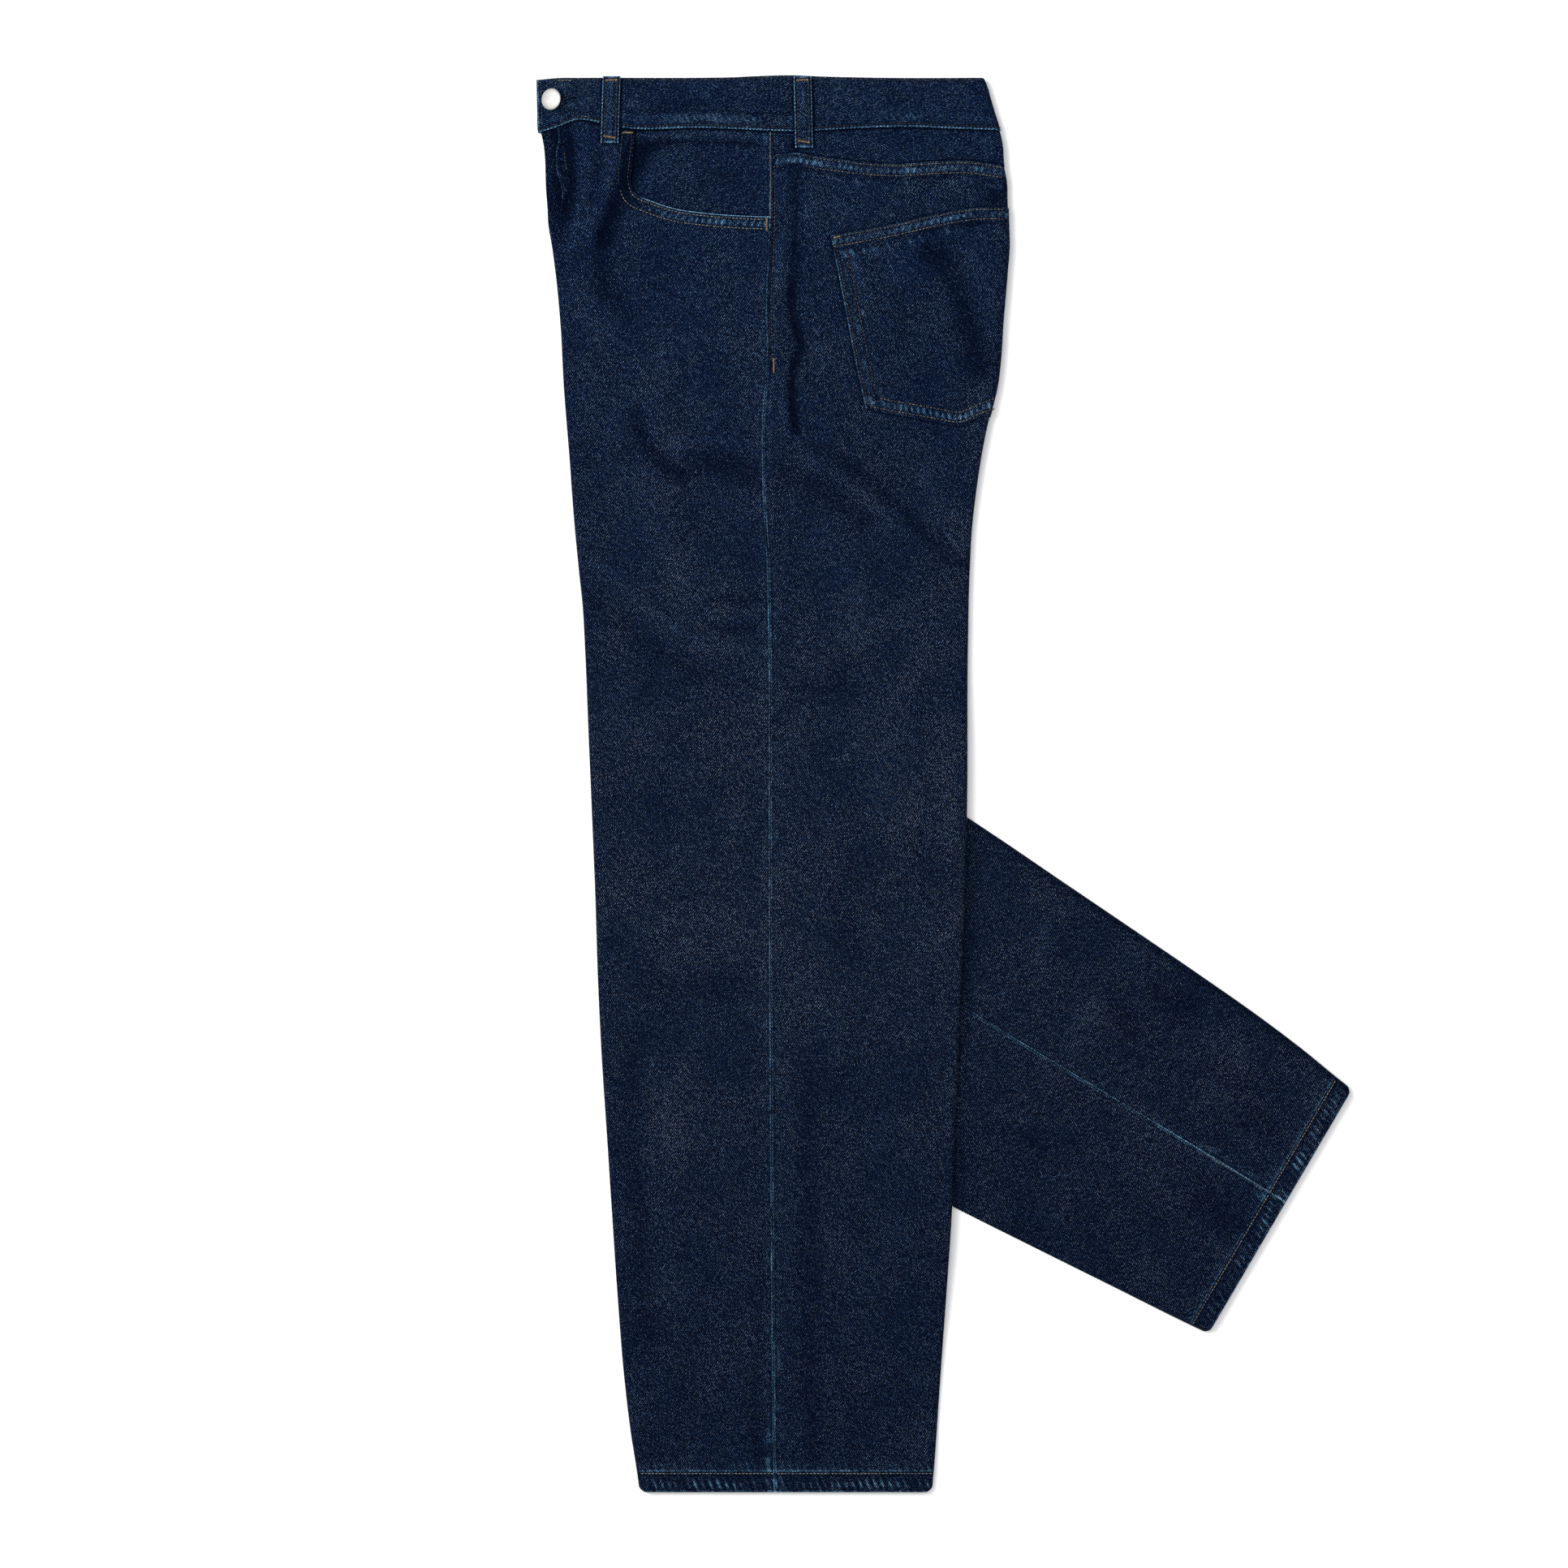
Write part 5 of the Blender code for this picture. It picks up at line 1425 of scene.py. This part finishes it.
def bartack(start, end, width, up, seed):
    """A dense bar of thread between two points: short threads side by side across its length."""
    length = np.linalg.norm(end - start)
    way, up = (end - start) / length, np.array((0.0, 0.0, up))
    count = int(length / 0.42)
    random = np.random.default_rng(seed)
    at = start + way * np.linspace(0, length, count)[:, None]
    reach = np.cross(up, way) * width / 2 * (1 + 0.12 * random.uniform(-1, 1, (count, 1))) + way * 0.25
    return at - reach, at + reach, np.broadcast_to(up, at.shape), random.uniform(0, 1, count)


def loop_bars(loop, up):
    """A bar near each end of a belt loop, drawn down a little at one side."""
    bars = []
    for level, drop in ((2.6, -0.4), (loop[-1] - 4.6, 1.4)):
        step = np.array([[LOOP_ROW], [LOOP_WIDTH - LOOP_ROW]])
        points = loop_surface(loop, np.full((2, 1), level / loop[-1]), 0, step)[0][:, 0]
        points += (0, 0, up * (LOOP_CLOTH / 2 + 0.25))
        points[1, 1] -= drop
        bars.append(bartack(*points, 1.4, up, 8))
    return bars


def bartacks(look):
    """Bars on both sides: loop ends, pocket corners and the end of the side seam's stitching."""
    bars = []
    for side, up in (("left", 1), ("right", -1)):
        for name, ends, width in SIDE_BARS:
            bars.append(bartack(*on_cloth(side, name, *np.array(ends).T, 0.25), width, up, 5))
        for loop in all_loops():
            if loop[1] == side:
                bars += loop_bars(loop, up)
    thread_mesh("bartacks", bars, 0.6, 0.22, look)


# ---- button ---------------------------------------------------------------------------------------------
def button(look):
    """The domed button with a rolled rim and neck, turned finely round the axis of the CAD solid."""
    upper, _, underlap = band_levels()
    sin, cos = math.sin(BUTTON_TILT), math.cos(BUTTON_TILT)
    foot = underlap + BAND_HALF + SEAM_GAP + NECK_RADIUS * sin
    head = upper + BAND_HALF + SEAM_GAP + BUTTON_RADIUS * sin + BUTTON_RIM * cos
    neck = (head - foot) / cos
    turn = np.linspace(0, 2 * math.pi, 96, endpoint=False)
    radius, height = np.array([(r, -neck if h is None else h) for r, h in BUTTON_PROFILE]).T[:, :, None]
    x, y = radius * np.cos(turn), radius * np.sin(turn)
    points = stacked(x * cos - height * sin, y, x * sin + height * cos).reshape(-1, 3)
    middle = float(outline("front", BUTTON_IN[1])) + BUTTON_IN[0]
    points += (middle - neck / 2 * sin, -BUTTON_IN[1], head)
    cloth = stacked(turn * 4, np.arange(len(radius))[:, None]).reshape(-1, 2)
    faces = grid_faces(len(radius), len(turn), False, wrap=True)
    made = mesh_piece("button_metal", points, faces, cloth, np.zeros(len(points)), look)
    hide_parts("button")


# ---- materials ------------------------------------------------------------------------------------------
class Nodes:
    """Short ways to add and join shader nodes."""

    def __init__(self, name):
        self.material = bpy.data.materials.new(name)
        self.material.use_nodes = True
        self.tree = self.material.node_tree

    def add(self, kind, settings=(), **inputs):
        node = self.tree.nodes.new(kind)
        for key, value in dict(settings).items():
            setattr(node, key, value)
        for key, value in inputs.items():
            self.feed(node.inputs[key.replace("_", " ")], value)
        return node

    def feed(self, socket, value):
        if isinstance(value, bpy.types.NodeSocket):
            self.tree.links.new(value, socket)
        else:
            socket.default_value = value

    def attribute(self, name, output):
        return self.add("ShaderNodeAttribute", {"attribute_name": name}).outputs[output]

    def position(self):
        return self.add("ShaderNodeNewGeometry").outputs["Position"]

    def maths(self, operation, *values):
        node = self.add("ShaderNodeMath", {"operation": operation})
        for socket, value in zip(node.inputs, values):
            self.feed(socket, value)
        return node.outputs[0]

    def between(self, value, high):
        """The value, held from 0 to `high`."""
        return self.maths("MINIMUM", self.maths("MAXIMUM", value, 0.0), high)

    def about_half(self, value, strength, base):
        """`base` and what a noise is above 0.5, times a strength."""
        return self.maths("MULTIPLY_ADD", self.maths("SUBTRACT", value, 0.5), strength, base)

    def colour_mix(self, share, a, b, blend="MIX"):
        node = self.add("ShaderNodeMix", {"data_type": "RGBA", "blend_type": blend})
        sockets = {socket.identifier: socket for socket in (*node.inputs, *node.outputs)}
        for key, value in (("Factor_Float", share), ("A_Color", a), ("B_Color", b)):
            self.feed(sockets[key], value)
        return sockets["Result_Color"]

    def noise(self, vector, scale, detail=2.0, rough=0.5):
        inputs = {"Vector": vector, "Scale": scale, "Detail": detail, "Roughness": rough}
        return self.add("ShaderNodeTexNoise", {"noise_dimensions": "3D"}, **inputs).outputs["Fac"]

    def turned(self, vector, turn, size=(1.0, 1.0)):
        """The vector turned by an angle in degrees, and divided by the sizes of the wanted grains."""
        angle = math.radians(turn)
        node = self.add("ShaderNodeVectorRotate", {"rotation_type": "Z_AXIS"}, Vector=vector, Angle=angle)
        scaled = self.add("ShaderNodeVectorMath", {"operation": "MULTIPLY"})
        self.feed(scaled.inputs[0], node.outputs[0])
        scaled.inputs[1].default_value = (1 / size[0], 1 / size[1], 1.0)
        return scaled.outputs[0]

    def grain(self, vector, turn, size, detail=0.0, rough=0.5):
        """Noise with grains of a size, turned by an angle in degrees."""
        return self.noise(self.turned(vector, turn, size), 1.0, detail, rough)

    def ramp(self, factor, colours):
        node = self.add("ShaderNodeValToRGB", Fac=factor)
        elements = node.color_ramp.elements
        while len(elements) < len(colours):
            elements.new(0.5)
        for element, (place, colour) in zip(elements, colours):
            element.position = place
            element.color = (*colour, 1.0)
        return node.outputs["Color"]

    def finish(self, colour, rough, specular=0.5, metallic=0.0, relief=None):
        """The material of these values. `relief` is a bump's strength, distance in metres and height."""
        inputs = self.tree.nodes["Principled BSDF"].inputs
        self.feed(inputs["Base Color"], colour)
        self.feed(inputs["Roughness"], rough)
        self.feed(inputs["Specular IOR Level"], specular)
        self.feed(inputs["Metallic"], metallic)
        if relief:
            strength, distance, height = relief
            node = self.add("ShaderNodeBump", Strength=strength, Distance=distance, Height=height)
            self.feed(inputs["Normal"], node.outputs[0])
        return self.material


TWILL_TURN = 56  # in degrees
TWILL_PITCH = 1.44  # in millimetres
# The cloth's noises: turn in degrees, sizes across and along in millimetres, detail, roughness and strength.
GRAINS = (
    ("dashes", -TWILL_TURN, (1.5, 0.75), 0.0, 0.5, 0.90),
    ("specks", 0, (0.62, 0.66), 0.0, 0.5, 1.0),
    ("yarns", 0, (0.6, 9.0), 1.0, 0.5, 0.32),
    ("clouds", 0, (26, 40), 3.0, 0.6, 0.14),
    ("crinkle", 62, (9.0, 3.0), 2.0, 0.5, 0.15),
    ("mottle", 0, (0.9, 3.6), 0.0, 0.5, 0.30),
)
# Colours from the darkest to the lightest: of the dye, of its drift in hue, of a change with the height in
# the frame (by the place from hem to waist in metres; darker near the hem, and darker but bluer near the
# waist), and of worn cloth.
DYE = (
    (0.16, (0.0000, 0.0009, 0.0062)),
    (0.32, (0.0003, 0.0026, 0.0108)),
    (0.50, (0.0030, 0.0082, 0.0225)),
    (0.72, (0.0170, 0.0315, 0.0580)),
    (1.00, (0.155, 0.200, 0.262)),
)
HUES = ((0.36, (0.86, 0.79, 0.76)), (0.50, (0.76, 0.79, 0.84)), (0.66, (0.68, 0.80, 0.94)))
HEM_TO_WAIST = (
    (0.05, (0.56, 0.65, 0.77)), (0.50, (0.94, 0.92, 0.92)),
    (0.80, (0.73, 0.80, 0.92)), (1.00, (0.66, 0.83, 1.00)),
)
WORN = ((0.25, (0.010, 0.045, 0.10)), (0.60, (0.054, 0.19, 0.335)), (0.95, (0.31, 0.55, 0.73)))
# The colour of painted shade, which cloth is darkened towards where its wear_and_shade is below zero.
SHADED = 0.0003, 0.0016, 0.006, 1
MIDDLE_HEIGHT = 0.55  # from the hem up to the frame's middle, in metres


def denim():
    """Dark indigo twill: slanting ribs broken into dashes, slubby yarns, cloudy dye, and worn ridges, with
    painted shade where its wear_and_shade is below zero.
    """
    n = Nodes("indigo_denim")
    cloth, wear_and_shade = n.attribute("cloth", "Vector"), n.attribute("wear_and_shade", "Fac")
    wander = n.grain(cloth, 0, (12, 12), 1.0)
    along = n.add("ShaderNodeSeparateXYZ", Vector=n.turned(cloth, -TWILL_TURN))
    across_ribs = n.maths("MULTIPLY_ADD", wander, 1.2, along.outputs["Y"])
    rib = n.maths("SINE", n.maths("MULTIPLY", across_ribs, 2 * math.pi / TWILL_PITCH))
    level = n.maths("MULTIPLY_ADD", rib, 0.22, 0.423)
    grains = {}
    for name, turn, size, detail, rough, strength in GRAINS:
        grains[name] = n.grain(cloth, turn, size, detail, rough)
        level = n.about_half(grains[name], strength, level)
    frost = n.grain(cloth, 20, (48, 75), 3.0, 0.6)
    above = n.maths("MAXIMUM", n.maths("SUBTRACT", level, 0.5), 0.0)
    frosted = n.maths("MULTIPLY", n.maths("SUBTRACT", frost, 0.5), 1.1)
    level = n.maths("MULTIPLY_ADD", above, frosted, level)
    # Worn places raise the level, and painted shade lowers it.
    level = n.maths("MULTIPLY_ADD", wear_and_shade, 0.42, level)
    hue = n.about_half(frost, -0.5, n.grain(cloth, 30, (7.0, 4.0), 2.0))
    colour = n.colour_mix(1.0, n.ramp(level, DYE), n.ramp(hue, HUES), "MULTIPLY")
    place = n.add("ShaderNodeSeparateXYZ", Vector=n.position())
    height = n.maths("ADD", place.outputs["Y"], MIDDLE_HEIGHT)
    colour = n.colour_mix(1.0, colour, n.ramp(height, HEM_TO_WAIST), "MULTIPLY")
    worn = n.between(n.maths("MULTIPLY", n.maths("SUBTRACT", wear_and_shade, 0.12), 1.15), 0.95)
    colour = n.colour_mix(worn, colour, n.ramp(level, WORN))
    # Painted shade: below zero, wear_and_shade darkens the colour towards the shade colour.
    colour = n.colour_mix(n.between(n.maths("MULTIPLY", wear_and_shade, -1.0), 0.85), colour, SHADED)
    dashes = grains["dashes"]
    relief = n.maths("MULTIPLY_ADD", rib, 0.5, n.maths("MULTIPLY", dashes, 1.6))
    return n.finish(colour, n.maths("MULTIPLY_ADD", dashes, -0.2, 0.95), 0.02, relief=(0.5, 0.0002, relief))


def thread(name, dark, middle, bright):
    """Sewing thread: each stitch has a tint of its own between three colours."""
    n = Nodes(name)
    colour = n.ramp(n.attribute("wear_and_shade", "Fac"), ((0.0, dark), (0.55, middle), (1.0, bright)))
    fuzz = n.noise(n.position(), 2600.0)
    colour = n.colour_mix(n.maths("MULTIPLY", fuzz, 0.6), colour, (*(0.35 * part for part in dark), 1))
    return n.finish(colour, n.maths("MULTIPLY_ADD", fuzz, 0.3, 0.45), 0.3, relief=(0.5, 0.0001, fuzz))


def metal():
    """Brushed, creamy white metal with faint clouding."""
    n = Nodes("button_metal")
    clouds, grain = n.noise(n.position(), 260.0, 3.0), n.noise(n.position(), 3200.0, 1.0)
    colour = n.ramp(clouds, ((0.3, (0.36, 0.35, 0.335)), (0.7, (0.44, 0.43, 0.415))))
    rough = n.maths("MULTIPLY_ADD", grain, 0.16, 0.42)
    return n.finish(colour, rough, metallic=0.55, relief=(0.12, 0.0001, grain))


def paper():
    n = Nodes("pale_floor")
    colour = n.ramp(n.noise(n.position(), 40.0), ((0.2, (0.90, 0.90, 0.90)), (0.8, (0.93, 0.93, 0.93))))
    return n.finish(colour, 0.9, 0.1)


# ---- stage ----------------------------------------------------------------------------------------------
def floor(look):
    mesh = bpy.data.meshes.new("floor")
    corners = [(x * FLOOR_HALF, y * FLOOR_HALF, 0) for x, y in ((-1, -1), (1, -1), (1, 1), (-1, 1))]
    mesh.from_pydata(corners, [], [(0, 1, 2, 3)])
    mesh.materials.append(look)
    made = place_in_scene("floor", mesh)
    made.location.z = CAD_BOX[0].z - FLOOR_DROP


def area_light(name, place, aim, size, power):
    """A square light whose -Z axis is turned towards its aim."""
    data = bpy.data.lights.new(name, "AREA")
    data.shape = "SQUARE"
    data.size = size
    data.energy = power
    made = place_in_scene(name, data)
    made.location = place
    x, y, z = np.array(aim, float) - place
    flat = math.hypot(x, y)
    made.rotation_euler = math.atan2(flat, -z), 0.0, math.atan2(-x, y) if flat > 1e-6 else 0.0


def daylight():
    world = bpy.data.worlds.new("studio")
    world.use_nodes = True
    background = world.node_tree.nodes["Background"]
    background.inputs["Color"].default_value = WORLD_COLOUR
    background.inputs["Strength"].default_value = WORLD_STRENGTH
    bpy.context.scene.world = world
    bpy.context.scene.view_settings.view_transform = "Standard"


def camera():
    """Straight above, as far away as the view is wide through its lens."""
    data = bpy.data.cameras.new("camera")
    data.lens = LENS
    data.sensor_width = SENSOR
    made = place_in_scene("camera", data)
    made.location = [MM * value for value in (*VIEW_CENTRE, VIEW_WIDTH * LENS / SENSOR)]
    bpy.context.scene.camera = made


def main():
    camera()
    for light in LIGHTS:
        area_light(*light)
    daylight()
    floor(paper())
    cloth = denim()
    tan = thread("topstitch_thread", (0.004, 0.0044, 0.0056), (0.078, 0.070, 0.050), (0.25, 0.23, 0.17))
    gold = thread("bartack_thread", (0.08, 0.046, 0.014), (0.21, 0.13, 0.05), (0.36, 0.25, 0.12))
    for side in SIDES:
        panel(side, "front", cloth)
        panel(side, "back", cloth)
        yoke(side, cloth)
        facing(side, cloth)
        back_pocket(side, cloth)
        topstitching(side, tan)
    waistband(cloth)
    fly_shield(cloth)
    for loop in all_loops():
        belt_loop(loop, cloth)
    band_stitching(tan)
    bartacks(gold)
    button(metal())


main()
